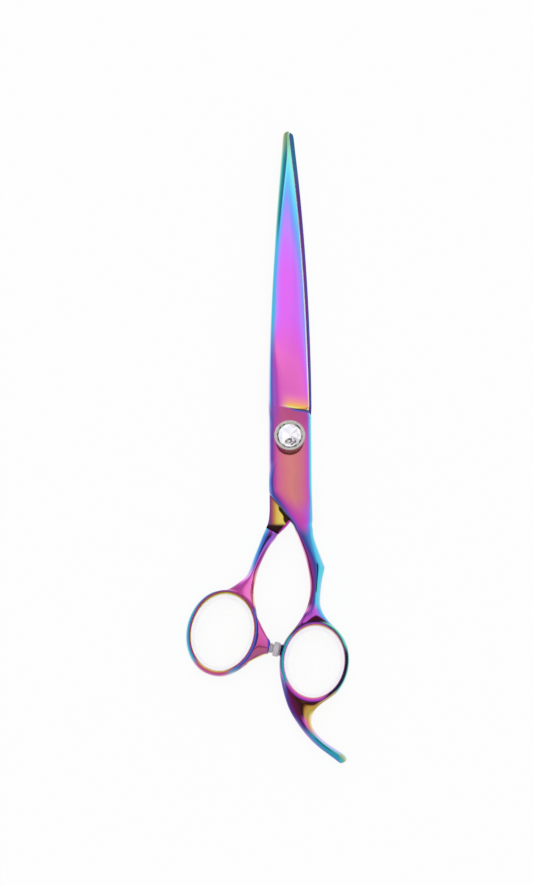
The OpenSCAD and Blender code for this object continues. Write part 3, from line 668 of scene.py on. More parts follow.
def finger_handle(tree, lean, across, x, y, on_ring, out):
    """Film on the finger shank, its ring and its tang, thicker round the ring and gold at the tang's root,
    with painted dark reflections along the shank, over the ring, at the tang's root and on the ring's top
    and right side.
    The spans are in millimetres across and along the shears."""
    # Painted dark reflection along the crest of the shank
    shade = painted_reflection_streak(tree, film(tree, lean, FINGER_SHANK), "1A2848", across, 0.13, 0.13, y, -40.5, -51.5)
    shade = lay(tree, shade, film(tree, lean, FINGER_WEB), y, -54, -57)
    # Painted dark reflection in an arch over the ring, and the dark landing pad of the bumper
    painted_reflection_arch = add(tree, "Math", {0: apart(tree, x, 8.2), 1: 1.5}, operation="POWER")
    painted_reflection_arch = add(tree, "Math", {0: painted_reflection_arch, 1: 0.36, 2: y}, operation="MULTIPLY_ADD")
    shade = lay(tree, shade, srgb("3E1528"), painted_reflection_arch, -57.9, -58.7)
    shade = lay(tree, shade, srgb("2E1644"), y, -64.5, -66)
    tang = lay(tree, film(tree, lean, TANG_ROOT), film(tree, lean, TANG_MIDDLE), y, -90, -93)
    tang = lay(tree, tang, film(tree, lean, TANG_END), y, -93.5, -98)
    # Painted dark reflection along the crest of the tang
    tang = painted_reflection_streak(tree, tang, "1C4C60", across, -0.05, 0.12, y, -97, -102.5)
    tang = lay(tree, tang, film(tree, lean, TANG_TIP), x, 14.6, 16)
    shade = lay(tree, shade, tang, y, -72, -76)
    band = lay(tree, film(tree, out, RING_LEFT), film(tree, out, RING_TOP), y, -66.5, -63.5)
    foot = lay(tree, band, film(tree, out, RING_FOOT), y, -78.5, -81.5)
    right = lay(tree, film(tree, out, RING_RIGHT), film(tree, out, RING_MINT), y, -71, -67)
    band = lay(tree, foot, right, x, 9, 12.5)
    return lay(tree, shade, band, on_ring, 0.45, 0.85)


def ring_share(tree, spot, ring, side):
    """Share of the way from the hole of a ring out to its outer edge."""
    x, y, long, short, lean = ring
    turn = math.radians(lean if side > 0 else 180 - lean)
    size = oval_share(tree, spot, (x * side, y), (long, short), turn)
    edge = 1 + BAND / math.sqrt(long * short)
    return add(tree, "MapRange", {"Value": size, "From Min": 1, "From Max": edge})


def rainbow_coat(name, side, ring, handle_film):
    """Titanium film on mirror polished steel. Its thickness gives the colour, which changes with the lean of
    the skin. The film grows along the blade and changes again down the handle. Dark lines and patches and
    the chamfer laid over it in places are painted reflections."""
    made, tree, shader = finish_of(name, Metallic=1.0, Roughness=0.12)
    place, spot, x, y = surface(tree)
    across = add(tree, "Attribute", attribute_name="across").outputs["Fac"]
    on_ring = add(tree, "Attribute", attribute_name="ring").outputs["Fac"]
    # Uneven film in patches of about 6 mm
    patches = add(tree, "TexNoise", {"Vector": spot, "Scale": 1 / 6, "Detail": 1.0})
    uneven = add(tree, "VectorMath", {0: patches.outputs["Color"], 1: (0.5, 0.5, 0.5)}, operation="SUBTRACT")
    inputs = {0: uneven, 1: (0.02, 0.02, 0), 2: place.outputs["Normal"]}
    normal = add(tree, "VectorMath", inputs, operation="MULTIPLY_ADD")

    out = ring_share(tree, spot, ring, side)
    handle_lean = lean_to(tree, normal, (LEAN_X, LEAN_Y, 0))[1]
    handle = handle_film(tree, handle_lean, across, x, y, on_ring, out)
    straight, lean = lean_to(tree, normal, (LEAN_X * side, LEAN_Y, 0))
    neck = lay(tree, film(tree, lean, NECK), film(tree, lean, NECK_TOP), y, -1, 7)
    neck = lay(tree, neck, film(tree, across, NECK_EDGE), across, 0.34, 0.46)
    round_off = oval_share(tree, spot, (8.4 * side, -14.6), (14, 14))
    # Painted reflection of a chamfer on the lower left corner of the neck
    chamfer_reflection = lay(tree, neck, film(tree, round_off, PAINTED_CHAMFER), round_off, 0.98, 1)
    chamfer_reflection = lay(tree, neck, chamfer_reflection, y, -7, -15)
    neck = lay(tree, chamfer_reflection, neck, y, -20, -23)
    flank = lay(tree, neck, film(tree, lean, NECK_LEFT), lean, -0.4, -0.55)
    neck = lay(tree, neck, flank, y, -16, -20)
    neck = lay(tree, neck, film(tree, lean, NECK_FOOT), y, -19, -27.5)
    body = lay(tree, handle, neck, y, -33, -28.5)

    # Face of the blade. The film grows towards the tip and the cutting edge, and beside the ridge
    along = add(tree, "VectorMath", {0: spot, 1: (0.14 * side, 1, 0)}, operation="DOT_PRODUCT")
    inputs = {"Value": along, "From Min": 12, "From Max": 45, "To Min": 0.3, "To Max": 0.465}
    grown = add(tree, "MapRange", inputs, interpolation_type="SMOOTHSTEP")
    to_tip = add(tree, "MapRange", {"Value": along, "From Min": 52, "From Max": 99}, clamp=False)
    to_tip = add(tree, "Math", {0: to_tip, 1: 0.0}, operation="MAXIMUM")
    to_tip = add(tree, "Math", {0: to_tip, 1: 1.6}, operation="POWER")
    grown = add(tree, "Math", {0: to_tip, 1: 0.41, 2: grown}, operation="MULTIPLY_ADD")
    to_edge = add(tree, "MapRange", {"Value": straight, "From Max": 0.6, "To Max": 0.21})
    grown = add(tree, "Math", {0: to_edge, 1: grown}, operation="ADD")
    by_ridge = add(tree, "MapRange", {"Value": across, "From Min": 0.0, "From Max": -0.25})
    by_ridge = add(tree, "Math", {0: by_ridge, 1: 3.5}, operation="POWER")
    inputs = {"Value": along, "From Min": 22, "From Max": 42, "To Min": -0.18, "To Max": 0.26}
    ridge_film = add(tree, "MapRange", inputs)
    grown = add(tree, "Math", {0: by_ridge, 1: ridge_film, 2: grown}, operation="MULTIPLY_ADD")
    spine = lay(tree, film(tree, across, SPINE_LOW), film(tree, across, SPINE_MIDDLE), along, 24, 42)
    spine = lay(tree, spine, film(tree, across, SPINE_HIGH), along, 62, 76)
    spine = lay(tree, spine, film(tree, across, SPINE_TIP), along, 94, 104)
    blade = lay(tree, film(tree, grown, BLADE_FACE), spine, across, -0.2, -0.28)

    # Thin coated bevel by the step, where no stone has reached it
    blade = lay(tree, blade, srgb("F8D6CC"), across, 0.5, 0.56)
    # Gold lens over the step, from the middle of the blade to its edge
    sideways = add(tree, "Math", {0: x, 1: side}, operation="MULTIPLY")
    lens = lay(tree, blade, film(tree, along, STEP), sideways, -3.6, 0.5)
    lens = lay(tree, lens, blade, sideways, 5.9, 6.4)
    blade = lay(tree, blade, lens, along, 17, 12)
    # The film changes at once over the step, and slowly along the spine
    step = lay(tree, body, blade, along, 9.9, 10.15)
    shade = lay(tree, lay(tree, body, blade, along, 5, 13), step, sideways, -4.6, -2.6)
    foot = lay(tree, shade, film(tree, along, STEP_FOOT), sideways, -0.6, 2.4)
    foot = lay(tree, shade, foot, along, 8.95, 9.25)
    shade = lay(tree, foot, shade, along, 10.25, 10.45)
    tree.links.new(shade, shader.inputs["Base Color"])
    return made


def honed_steel():
    """Bare stainless steel honed on a fine stone. The scratches run across the edge and dull the mirror."""
    made, tree, shader = finish_of("honed_steel", Metallic=1.0, Roughness=0.26)
    place = add(tree, "TexCoord")
    # Scratches 0.2 mm apart along the edge, drawn coarser than a stone leaves them so that they show
    across = add(tree, "Mapping", {"Vector": place.outputs["Object"], "Scale": (0.1, 1, 0.1)})
    lines = add(tree, "TexNoise", {"Vector": across, "Scale": 1 / (0.2 * MM), "Detail": 2.0})
    two_tone(tree, shader, lines, [(0.3, "E2EAE8"), (0.7, "EEF4F0")])
    return made


# Inner face: violet by millimetres along the blade, and the gold patch by millimetres across the neck
INNER_VIOLET = {
    5: "4A2E78", 30: "6A2C84", 65: "6C3484", 80: "5A3478", 92: "642F7C", 105: "5A3A80",
}
INNER_GOLD = {
    -6.9: "5C4F8F", -6.3: "883A70", -5.6: "A85F58", -5: "BC8A4C", -4.4: "D0B055", -3.4: "DCC65F",
}


def ground_film(name, side):
    """The same film over the surface ground inner face, where it came out darker: violet along the blade
    and gold at the neck, with a painted dark reflection where it runs under the other half. Fine grinding
    lines run across the blade."""
    made, tree, shader = finish_of(name, Metallic=1.0, Roughness=0.14)
    _, spot, x, y = surface(tree)
    across = add(tree, "Attribute", attribute_name="across").outputs["Fac"]
    sideways = add(tree, "Math", {0: x, 1: side}, operation="MULTIPLY")
    violet = lay(tree, film(tree, y, INNER_VIOLET), srgb("3A58A0"), across, -0.88, -1)
    tip_blue = lay(tree, violet, srgb("2C6490"), across, 0.0, -0.5)
    violet = lay(tree, violet, tip_blue, y, 80, 96)
    # Painted dark reflection in the gold, with a wavy edge. It ends at the line where the neck goes under the
    # other half
    waves = 1.75
    painted_reflection_edge = add(tree, "VectorMath", {0: spot, 1: (0.944 * side, 0.408, 0)}, operation="DOT_PRODUCT")
    wave = add(tree, "Math", {0: y, 1: waves, 2: waves * 27 + math.pi / 2}, operation="MULTIPLY_ADD")
    wave = add(tree, "Math", {0: wave}, operation="SINE")
    painted_reflection_edge = add(tree, "Math", {0: wave, 1: 0.22, 2: painted_reflection_edge.outputs["Value"]}, operation="MULTIPLY_ADD")
    patch = lay(tree, film(tree, sideways, INNER_GOLD), srgb("3A2218"), painted_reflection_edge, -12.9, -12.55)
    under = add(tree, "VectorMath", {0: spot, 1: (0.764 * side, 0.645, 0)}, operation="DOT_PRODUCT")
    patch = lay(tree, patch, srgb("8A4A78"), under, -17.1, -15.9)
    patch = lay(tree, patch, srgb("2B191C"), y, -27.5, -28.7)
    by_foot = add(tree, "VectorMath", {0: spot, 1: (0.76 * side, -0.64, 0)}, operation="DOT_PRODUCT")
    patch = lay(tree, patch, srgb("B83AA4"), by_foot, 16.65, 16.95)
    colour = lay(tree, violet, patch, y, -8, -18)
    # Grinding lines 0.25 mm apart
    drawn_out = add(tree, "Mapping", {"Vector": spot, "Scale": (0.08, 1, 0.08)})
    lines = add(tree, "TexNoise", {"Vector": drawn_out, "Scale": 1 / 0.25, "Detail": 2.0})
    lines = add(tree, "MapRange", {"Value": lines, "To Min": 0.9, "To Max": 1.1})
    colour = add(tree, "VectorMath", {0: colour, 1: lines}, operation="MULTIPLY")
    tree.links.new(colour.outputs[0], shader.inputs["Base Color"])
    return made


bare_edge = honed_steel()
finger_coat = rainbow_coat("rainbow_titanium_coat_front", 1, finger_ring, finger_handle)
for finish in (finger_coat, bare_edge, ground_film("ground_titanium_coat_front", -1)):
    finger_half.data.materials.append(finish)
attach(finger_half, "finger_side")
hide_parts("still_half")

# Thumb half: the back forging, the same blade and neck turned over, with a ring for the thumb.
# A spur on the ring carries the rubber bumper. The pivot bolt sits in it, flush with its outer face.
thumb_ring = (22.0, -63.5, 12.2, 9.7, 103.5)
thumb_shank_turns = even(52, -28, 7)
spur_turns = even(52, 140, 7)
thumb_turns = thumb_shank_turns + [-50, -73, -96, -119, -142, -165, -188, -204]
thumb_turns += [t - 360 for t in reversed(spur_turns[1:])]
thumb_openings = [(0, 6), (15, 21)]
thumb_plan = [
    (0.9, -28.4, 6.9, -26.4),
    (2.82, -30.32, 7.3, -28.04),
    (3.77, -31.27, 7.78, -29.22),
    (4.16, -31.66, 7.98, -29.71),
    (4.24, -31.76, 8.04, -29.81),
    (5.3, -33.4, 9.1, -32.2),
    (6.9, -35.5, 10.4, -35.5),
    (9.2, -40.0, 12.2, -40.0),
    (10.7, -44.0, 13.9, -44.4),
    (11.5, -47.5, 16.4, -46.9),
    (11.8, -50.7, 20.4, -49.4),
]
spur_plan = [
    (9.18, -61.83, 11.12, -71.87),
    (8.3, -63.55, 9.71, -71.19),
    (7.32, -65.3, 8.33, -70.62),
    (6.62, -66.48, 7.43, -70.3),
]
turned = Matrix.Translation((0, 0, full_h)) @ Matrix.Rotation(math.pi, 4, "Y")
head_r = 4.03
head_t = 1.0
key_r = 3.03
key_flat = 2.43
stud_r = 0.78
stud_depth = 3.0
thumb_drift = -0.36
thumb_wider = -0.3
spur_rows = branch(thumb_ring, spur_turns, spur_plan, (10.22, -59.59, 13.07, -72.92), (2.42, 2.0), (2.6, 2.2))
thumb_half = forge(
    "thumb_half",
    half_cage(
        blade_and_neck(thumb_drift, thumb_wider), thumb_ring, thumb_turns, thumb_shank_turns,
        thumb_plan, spur_rows, thumb_openings, half_crease,
    ),
    turned,
    cuts=[
        rod(head_r, -2, head_t),
        rod(key_r, -2, 4, flats=key_flat),
        rod(stud_r, -stud_depth, 2, bumper_line),
    ],
    bosses=[],
)
# Thumb shank: the dark stops about its crest are a painted dark reflection
THUMB_SHANK = {
    -0.95: "F0F4FF", -0.82: "A8D4F8", -0.74: "4A98DC", -0.55: "4A84D0", -0.35: "3A5CAC", -0.15: "4A4A98",
    0: "3A2868", 0.06: "241646", 0.12: "4A3280", 0.25: "7A54B8", 0.42: "9C64D4", 0.58: "B068DC",
    0.66: "AC4CB8", 0.72: "84286E", 0.78: "B03A98", 0.86: "D882C4", 1: "FBD0E8",
}
THUMB_WEB = {
    -0.9: "F8DAFC", -0.52: "F3A3F5", -0.48: "D862CA", -0.44: "B44CA6", -0.3: "A5408F", 0: "B04690",
    0.25: "C4529E", 0.42: "E070C0", 0.55: "F27BCE", 0.66: "EC84C0", 0.73: "AC446E", 0.8: "E09C94",
    0.9: "FADAC0", 1: "F6F0D8",
}
# Spur, by the share across it from its upper edge over a crease to its lower edge. The dark stop at the
# # crease is painted shade
SPUR = {
    -1: "F8ECD0", -0.92: "E8B898", -0.85: "8A3058", -0.72: "C04A90", -0.4: "DC66B4", 0: "C8589C",
    0.1: "B85090", 0.14: "743058", 0.2: "B0587C", 0.45: "A85A80", 0.6: "A04A8C", 0.7: "B07868",
    0.8: "D8C078", 0.9: "F4EEB8", 1: "FAF8E8",
}
# Film round the thumb ring, by the share from its hole to its outer edge
THUMB_LEFT = {
    0: "F4F8E0", 0.08: "E8E8A0", 0.17: "E0B838", 0.27: "98403C", 0.38: "B0309A", 0.5: "5A50B0",
    0.6: "2F9CB8", 0.85: "3CB4C4", 0.94: "90D8F0", 1: "D8ECFF",
}
THUMB_TOP = {
    0: "F4F6DC", 0.12: "E8E8A8", 0.25: "B09A38", 0.38: "8A4A38", 0.5: "8A3A80", 0.65: "5A60B8",
    0.85: "48A0D0", 0.95: "A0D0F0", 1: "DABEFF",
}
THUMB_RIGHT = {
    0: "F8F6E4", 0.1: "F0DCB0", 0.2: "D88868", 0.32: "A04478", 0.45: "7A44A8", 0.6: "4A64C0", 0.8: "4048A0",
    1: "3A2870",
}
THUMB_JOIN = {
    0: "F4F6DC", 0.12: "E8E0A8", 0.24: "B09A38", 0.34: "9A4A48", 0.46: "A03C78", 0.7: "AC4690", 1: "B850A0",
}
THUMB_FOOT = {
    0: "F0F4F0", 0.15: "E4E8D0", 0.3: "E0C890", 0.45: "C88850", 0.6: "B84A68", 0.78: "B0309A",
    0.9: "D890B0", 1: "F8E0D8",
}


def thumb_handle(tree, lean, across, x, y, on_ring, out):
    """Film on the thumb shank, its ring and its spur, with a painted dark reflection along the shank
    and painted shade in a crescent where the spur leaves the ring.
    """
    # Painted dark reflection along the crest of the shank
    shade = painted_reflection_streak(tree, film(tree, lean, THUMB_SHANK), "1A1A40", across, 0, 0.1, y, -29.5, -39)
    shade = lay(tree, shade, film(tree, lean, THUMB_WEB), y, -40.5, -47)
    spur = lay(tree, film(tree, across, SPUR), srgb("5848B8"), x, -8, -7.2)
    # Painted shade: a dark crescent where the spur leaves the ring
    painted_shade_crescent = lay(tree, spur, srgb("2A1848"), on_ring, 0.2, 0.4)
    spur = lay(tree, painted_shade_crescent, spur, apart(tree, y, -66.2), 1.4, 2.8)
    shade = lay(tree, shade, spur, y, -55, -58)
    band = lay(tree, film(tree, out, THUMB_LEFT), film(tree, out, THUMB_TOP), y, -57.5, -54)
    band = lay(tree, band, film(tree, out, THUMB_RIGHT), x, -20, -16)
    foot = lay(tree, band, film(tree, out, THUMB_FOOT), y, -71.5, -74.5)
    band = lay(tree, foot, band, x, -22, -17.5)
    # The shank grows out of the ring here, so the ring has no outer edge
    spot = add(tree, "CombineXYZ", {"X": x, "Y": y})
    away = add(tree, "VectorMath", {0: spot, 1: (-15.1, -52.9, 0)}, operation="DISTANCE")
    band = lay(tree, film(tree, out, THUMB_JOIN), band, away, 3.4, 5.4)
    return lay(tree, shade, band, on_ring, 0.45, 0.85)


thumb_coat = rainbow_coat("rainbow_titanium_coat_back", -1, thumb_ring, thumb_handle)
for finish in (thumb_coat, bare_edge, ground_film("ground_titanium_coat_back", 1)):
    thumb_half.data.materials.append(finish)
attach(thumb_half, "thumb_side")
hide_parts("moving_half")


# Pivot: a flush bolt keyed into the thumb half, a bronze bush, two nylon washers and a cupped spring washer.
# They are turned, stamped or moulded, bought in and dropped into the bores. Their solids have the shape
# already, and so has the stud of the bumper.
def turned_metal(name, light, dark, roughness, pitch):
    """Turned or stamped metal with fine tool rings about the pivot."""
    made, tree, shader = finish_of(name, Metallic=1.0, Roughness=roughness)
    place = add(tree, "TexCoord")
    inputs = {"Vector": place.outputs["Object"], "Scale": 0.314 / pitch, "Distortion": 0.6}
    rings = add(tree, "TexWave", inputs, wave_type="RINGS", rings_direction="Z")
    two_tone(tree, shader, rings, [(0.0, dark), (1.0, light)], (0.15, 0.02 * MM))
    return made


def grained(name, size, tones, relief=None, detail=2.0, **sockets):
    """A new material with two tones in a grain of that size."""
    made, tree, shader = finish_of(name, **sockets)
    place = add(tree, "TexCoord")
    grain = add(tree, "TexNoise", {"Vector": place.outputs["Object"], "Scale": 1 / size, "Detail": detail})
    two_tone(tree, shader, grain, tones, relief)
    return made


# Moulded white nylon. It is slightly cloudy, with a soft waxy sheen
cloudy = [(0.3, "DEDCD4"), (0.7, "F0EEE8")]
white_nylon = grained("white_nylon", 0.8 * MM, cloudy, Roughness=0.42, IOR=1.53, Subsurface_Weight=0.1)
bolt_steel = turned_metal("turned_stainless_steel", "CFD2D6", "B2B4B8", 0.22, 0.25 * MM)
pivot_finishes = {
    "pivot_bolt": bolt_steel,
    "bumper_stud": bolt_steel,
    "pivot_bush": turned_metal("turned_bronze", "B98A4E", "9F7643", 0.28, 0.3 * MM),
    "spring_washer": turned_metal("stamped_spring_steel", "9EA3AA", "878C92", 0.3, 0.5 * MM),
    "blade_washer": white_nylon,
    "glide_washer": white_nylon,
}
for node, finish in pivot_finishes.items():
    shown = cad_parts[node].data.materials
    shown.clear()
    shown.append(finish)

# Tension dial: the knurled nut that is turned by a fingertip to set how tightly the blades ride.
# It is turned brass, knurled on its side and plated with rhodium, and it runs on the thread of the bolt.
dial_low, dial_high = (p.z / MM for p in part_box("tension_dial"))
dial_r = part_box("tension_dial")[1].x / MM
knurl_count = 44
knurl_depth = 0.18
dial_edge = 0.22
thread_r = 2.08


def turned_piece(name, profile, steps, matrix=Matrix.Identity(4), carve=None):
    """A turned piece: a closed outline of radius and height spun about Z. A carve moves its skin."""
    lathe = bmesh.new()
    points = [lathe.verts.new((r, 0, z)) for r, z in profile]
    for a, b in zip(points, points[1:] + points[:1]):
        lathe.edges.new((a, b))
    bmesh.ops.spin(
        lathe, geom=lathe.verts[:] + lathe.edges[:], axis=(0, 0, 1), cent=(0, 0, 0), steps=steps,
        angle=2 * math.pi, use_merge=True,
    )
    bmesh.ops.remove_doubles(lathe, verts=lathe.verts, dist=0.002)
    for v in lathe.verts:
        r = math.hypot(v.co.x, v.co.y)
        if carve and r > 0.01:
            grown = carve(r, math.atan2(v.co.y, v.co.x)) / r
            v.co.x *= grown
            v.co.y *= grown
    bmesh.ops.dissolve_degenerate(lathe, edges=lathe.edges, dist=0.001)
    return new_object(name, lathe, matrix)


def knurl(r, turn):
    """Straight knurling: vee grooves round the side, rounded edges included."""
    if r < dial_r - dial_edge - 0.01:
        return r
    return r - knurl_depth * abs((turn / (2 * math.pi) * knurl_count) % 1 * 2 - 1)


recess_r = 4.12
recess_top = dial_low + 0.65
seat_low = 8.34
seat_r = 4.1
dial = turned_piece(
    "tension_dial_nut",
    [
        (thread_r, recess_top), (recess_r, recess_top), (recess_r, dial_low), (dial_r - dial_edge, dial_low),
        (dial_r - 0.06, dial_low + 0.08), (dial_r, dial_low + dial_edge), (dial_r, dial_high - dial_edge),
        (dial_r - 0.06, dial_high - 0.08), (dial_r - dial_edge, dial_high), (seat_r, dial_high),
        (thread_r, seat_low),
    ],
    knurl_count * 6,
    carve=knurl,
)
smooth_finish(dial, 24)


def plated_silver(name, light, dark, roughness, size):
    """Bright rhodium plating over brass. It is a cool grey mirror with a slightly uneven cast."""
    tones = [(0.3, dark), (0.7, light)]
    return grained(name, size, tones, (0.25, 0.03 * MM), 3.0, Metallic=1.0, Roughness=roughness)


dial.data.materials.append(plated_silver("rhodium_plated_knurling", "AAA4A4", "706A6A", 0.3, 0.5 * MM))
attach(dial, "dial")
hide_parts("tension_dial")

# Bezel: the plated ring that is pressed over the dial and closed over the stone with a beaded lip.
# It is stamped brass. Its lip was rolled with a toothed wheel, which left a row of small notches.
bezel_low, bezel_high = (p.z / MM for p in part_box("dial_bezel"))
bezel_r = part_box("dial_bezel")[1].x / MM
stone_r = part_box("stone")[1].x / MM
stone_gap = 0.03
notch_count = 48
notch_depth = 0.14
lip_r = 4.0
lip_low = 9.46


def lip_notches(r, turn):
    """Notches in the inner edge of the lip."""
    if r > lip_r + 0.16:
        return r
    return r + notch_depth * (0.5 + 0.5 * math.cos(turn * notch_count)) ** 2


bezel = turned_piece(
    "beaded_bezel",
    [
        (stone_r + stone_gap, bezel_low), (bezel_r - 0.05, bezel_low), (bezel_r, bezel_low + 0.06),
        (bezel_r, bezel_high - 0.42), (bezel_r - 0.04, bezel_high - 0.22),
        (bezel_r - 0.16, bezel_high - 0.07), (bezel_r - 0.34, bezel_high),
        (bezel_r - 0.56, bezel_high - 0.03), (lip_r + 0.24, bezel_high - 0.13),
        (lip_r + 0.1, bezel_high - 0.3), (lip_r, bezel_high - 0.42), (lip_r, lip_low),
        (stone_r + stone_gap, lip_low),
    ],
    notch_count * 6,
    carve=lip_notches,
)
smooth_finish(bezel, 40)
bezel.data.materials.append(plated_silver("rhodium_plated_bezel", "C8C5C0", "B2AEAA", 0.24, 0.9 * MM))
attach(bezel, "dial")
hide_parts("dial_bezel")

# Stone: a round cut glass stone with a mirror foil on its back, set in the bezel.
# The crown has eight kites that meet in a point, with small facets at the rim. The back is a shallow cone.
stone_low, stone_high = (p.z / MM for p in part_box("stone"))
girdle_low, girdle_high = 9.02, 9.16
rim_r = 3.68
rim_z = 9.5
stone_facets = 16
kite_r = 2.5
kite_z = stone_high - (stone_high - rim_z) * kite_r / rim_r * math.cos(2 * math.pi / stone_facets)
gem = bmesh.new()
for radius, height, count, start in (
    (0.3, stone_low, stone_facets, 0.5),
    (stone_r, girdle_low, stone_facets, 0),
    (stone_r, girdle_high, stone_facets, 0),
    (rim_r, rim_z, stone_facets, 0),
    (kite_r, kite_z, stone_facets // 2, 0.5),
    (0.02, stone_high, stone_facets // 2, 0),
):
    place = Matrix.Translation((0, 0, height)) @ Matrix.Rotation(2 * math.pi * start / count, 4, "Z")
    bmesh.ops.create_circle(gem, cap_ends=False, segments=count, radius=radius, matrix=place)
bmesh.ops.convex_hull(gem, input=gem.verts)
bmesh.ops.dissolve_limit(gem, angle_limit=math.radians(2), verts=gem.verts, edges=gem.edges)
stone = new_object("cut_stone", gem)


def foiled_glass():
    """Cut lead glass with silver foil behind it. It reads as a bright mirror in which each facet has its
    own grey, a painted reflection of the room, and bits low on the crown are a painted dark reflection."""
    made, tree, shader = finish_of(
        "foiled_lead_glass", Metallic=1.0, Roughness=0.05, Coat_Weight=1.0, Coat_IOR=1.58
    )
    place = add(tree, "TexCoord")
    spot, normal = place.outputs["Object"], place.outputs["Normal"]
    facet_reflection = add(tree, "TexWhiteNoise", {"Vector": normal}, noise_dimensions="3D").outputs["Value"]
    greys = [(0.0, "CFCDDA"), (0.3, "E6E4EE"), (0.6, "FAFAFD"), (1.0, "FFFFFF")]
    # The painted reflections of the steep small facets at the rim vary more
    rim_reflection_greys = [(0.0, "6E686C"), (0.3, "A8A4AA"), (0.5, "E4E2E8"), (0.7, "FFFFFF")]
    shade = add(tree, "ValToRGB", {"Fac": facet_reflection}, greys)
    edge = add(tree, "ValToRGB", {"Fac": facet_reflection}, rim_reflection_greys)
    steep = add(tree, "SeparateXYZ", {"Vector": normal}).outputs["Z"]
    shade = lay(tree, shade, edge, steep, 0.93, 0.87)
    # Painted dark reflection in bits about 0.6 mm wide
    dark_reflection_bits = add(tree, "TexVoronoi", {"Vector": spot, "Scale": 1 / (0.6 * MM)})
    dark_reflection_bits = add(tree, "SeparateColor", {"Color": dark_reflection_bits.outputs["Color"]})
    dark_reflection_greys = [(0.0, "3A3030"), (0.35, "7E7474"), (0.65, "C4C0C4"), (1.0, "F4F2F6")]
    dark = add(tree, "ValToRGB", {"Fac": dark_reflection_bits}, dark_reflection_greys)
    dark_reflection_place = oval_share(tree, spot, (0.4 * MM, -2.1 * MM), (2 * MM, 1.2 * MM))
    shade = lay(tree, shade, dark, dark_reflection_place, 1.05, 0.9)
    tree.links.new(shade, shader.inputs["Base Color"])
    return made


stone.data.materials.append(foiled_glass())
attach(stone, "dial")
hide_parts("stone")

# Bumper: the soft stop between the rings, pushed over its steel stud in the spur of the thumb ring.
# It is moulded grey rubber with a ribbed collar, a groove and a domed head.
collar_r = 1.6
collar_len = 1.0
neck_r = 1.3
head_low = 1.4
bumper_r = 2.35
dome_r = 0.8
flange_r = 1.23
flange_low, flange_high = 1.97, 2.45
outline = [(stud_r, 0.0), (collar_r - 0.12, 0.0)]
for k in range(3):
    rib = collar_len * (k + 0.5) / 3
    outline += [(collar_r, rib - 0.08), (collar_r, rib + 0.08), (collar_r - 0.14, rib + 0.165)]
outline += [(neck_r, collar_len + 0.1), (neck_r, head_low - 0.06), (bumper_r - 0.28, head_low)]
outline += [(bumper_r - 0.08, head_low + 0.1), (bumper_r, head_low + 0.32)]
for k in range(9):
    t = math.pi / 2 * k / 8
    outline.append((bumper_r - dome_r + dome_r * math.cos(t), bumper_len - dome_r + dome_r * math.sin(t)))
outline += [(0.0, bumper_len), (0.0, flange_high), (flange_r, flange_high), (flange_r, flange_low)]
outline += [(stud_r, flange_low)]
bumper = turned_piece("ribbed_bumper", outline, 64, bumper_line)
smooth_finish(bumper, 50)

# Moulded grey rubber with some silver pigment: a satin skin with a fine grain
greys = [(0.25, "ABA5A9"), (0.75, "CFC9CE")]
grey_rubber = grained(
    "moulded_grey_rubber", 0.25 * MM, greys, (0.2, 0.02 * MM), 3.0, Roughness=0.38, IOR=1.5, Metallic=0.25
)
bumper.data.materials.append(grey_rubber)
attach(bumper, "thumb_side")
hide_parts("bumper")

# Ring inserts: clear soft linings that make the rings fit smaller fingers.
# They are moulded in clear plastic rubber and snap over the inside of each ring.
insert_wall = 0.9
insert_half = 2.2
insert_gap = 0.05
INSERT_STEPS = 10
INSERT_TURNS = 120
insert_section = []
for k in range(INSERT_STEPS + 1):
    z = insert_half * math.cos(math.pi * k / INSERT_STEPS)
    insert_section.append((BAND / 2 * (1 - math.sqrt(1 - (z / full_h) ** 2)) - insert_gap, z))
for k in range(1, INSERT_STEPS):
    t = math.pi * k / INSERT_STEPS
    z = -insert_half * math.cos(t)
    wall = BAND / 2 * (1 - math.sqrt(1 - (z / full_h) ** 2))
    insert_section.append((wall * (1 - math.sin(t)) - insert_gap - insert_wall * math.sin(t), z))

# Clear plastic rubber. It lies close on the ring and hardly bends the view: a faint lilac tint, flow marks
lilac = [(0.3, "F6F4FB"), (0.7, "FDFCFF")]
clear_rubber = grained(
    "clear_moulded_rubber", 3 * MM, lilac, IOR=1.05, Transmission_Weight=1.0, Roughness=0.0
)
insert_turns = [360 * k / INSERT_TURNS for k in range(INSERT_TURNS)]
for name, node, ring, matrix, body in (
    ("finger_lining", "finger_insert", finger_ring, Matrix.Translation((0, 0, full_h)), "finger_side"),
    ("thumb_lining", "thumb_insert", thumb_ring, turned, "thumb_side"),
):
    lining = bmesh.new()
    ring_band(lining, ring, insert_turns, insert_section)
    insert = new_object(name, lining, matrix)
    smooth_finish(insert, 50)
    insert.data.materials.append(clear_rubber)
    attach(insert, body)
    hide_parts(node)

# Studio: a white table under soft light, with one large softbox overhead.
# The table and the sky are plain white, so the base colours show as they are set, painted reflections
# included.
white = srgb("FFFFFF")


def seen_directly(tree):
    """Light Path: 1 for rays that look at the white room, straight or by way of metal or glass."""
    path = add(tree, "LightPath").outputs
    sees = add(tree, "Math", {0: path["Is Camera Ray"], 1: path["Is Glossy Ray"]}, operation="ADD")
    return add(tree, "Math", {0: sees, 1: path["Is Transmission Ray"]}, operation="ADD", use_clamp=True)


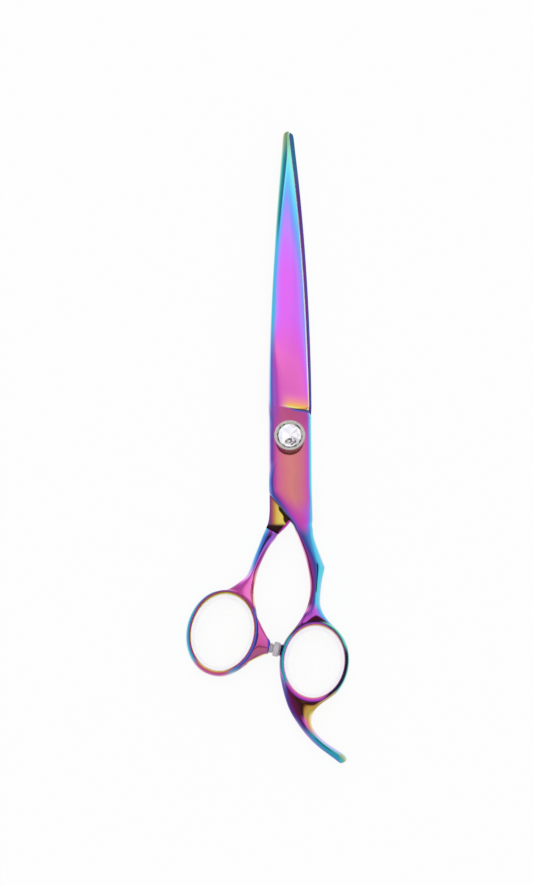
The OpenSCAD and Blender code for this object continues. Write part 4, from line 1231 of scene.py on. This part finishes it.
world = bpy.data.worlds.new("white_room")
bpy.context.scene.world = world
world.use_nodes = True
sky = world.node_tree.nodes["Background"]
sky.inputs["Color"].default_value = white
inputs = {"Value": seen_directly(world.node_tree), "To Min": 0.95, "To Max": 1.0}
level = add(world.node_tree, "MapRange", inputs)
world.node_tree.links.new(level.outputs[0], sky.inputs["Strength"])

# The table lies just under the lowest points of the rings
table_z = -0.12
table_half = 1500
table = bmesh.new()
bmesh.ops.create_grid(table, x_segments=1, y_segments=1, size=table_half)
floor = new_object("white_table", table, Matrix.Translation((0, 0, table_z)))
paper, tree, shader = finish_of("white_paper", Roughness=0.8, Base_Color=srgb("F4F4F4"))
glow = add(tree, "Emission", {"Color": white, "Strength": 1.0})
share = add(tree, "Math", {0: seen_directly(tree), 1: 0.9}, operation="MULTIPLY")
blend = add(tree, "MixShader", {"Fac": share, 1: shader, 2: glow})
tree.links.new(blend.outputs[0], tree.nodes["Material Output"].inputs["Surface"])
floor.data.materials.append(paper)

softbox = bpy.data.objects.new("softbox", bpy.data.lights.new("softbox", "AREA"))
softbox.data.shape, softbox.data.size = "SQUARE", 0.8
softbox.data.energy = 0.2
softbox.location = (-0.25, 0.45, 0.85)
softbox.rotation_euler = (Vector((0, 0, 0)) - softbox.location).to_track_quat("-Z", "Y").to_euler()
bpy.context.scene.collection.objects.link(softbox)

# The camera looks down from 12.5 degrees short of straight overhead, with the shears turned 0.3 degrees
CAMERA_AWAY = 1.0
tilt = math.radians(12.5)
orbit = 0.0055
right = Vector((math.cos(orbit), -math.sin(orbit), 0))
ahead = Vector((math.sin(orbit), math.cos(orbit), 0))
up = ahead * math.cos(tilt) + Vector((0, 0, math.sin(tilt)))
back = Vector((0, 0, math.cos(tilt))) - ahead * math.sin(tilt)
aim_left = 7.52 * MM
aim_down = 0.94 * MM
aim = Vector((0, 0, full_h * MM)) - aim_left * right - aim_down * up
camera = bpy.data.objects.new("camera", bpy.data.cameras.new("camera"))
camera.data.lens = 124.9
camera.data.clip_start = 0.05
look = Matrix((right, up, back)).transposed().to_4x4()
camera.matrix_world = Matrix.Translation(aim + back * CAMERA_AWAY) @ look
bpy.context.scene.collection.objects.link(camera)
bpy.context.scene.camera = camera

bpy.context.scene.view_settings.view_transform = "Standard"
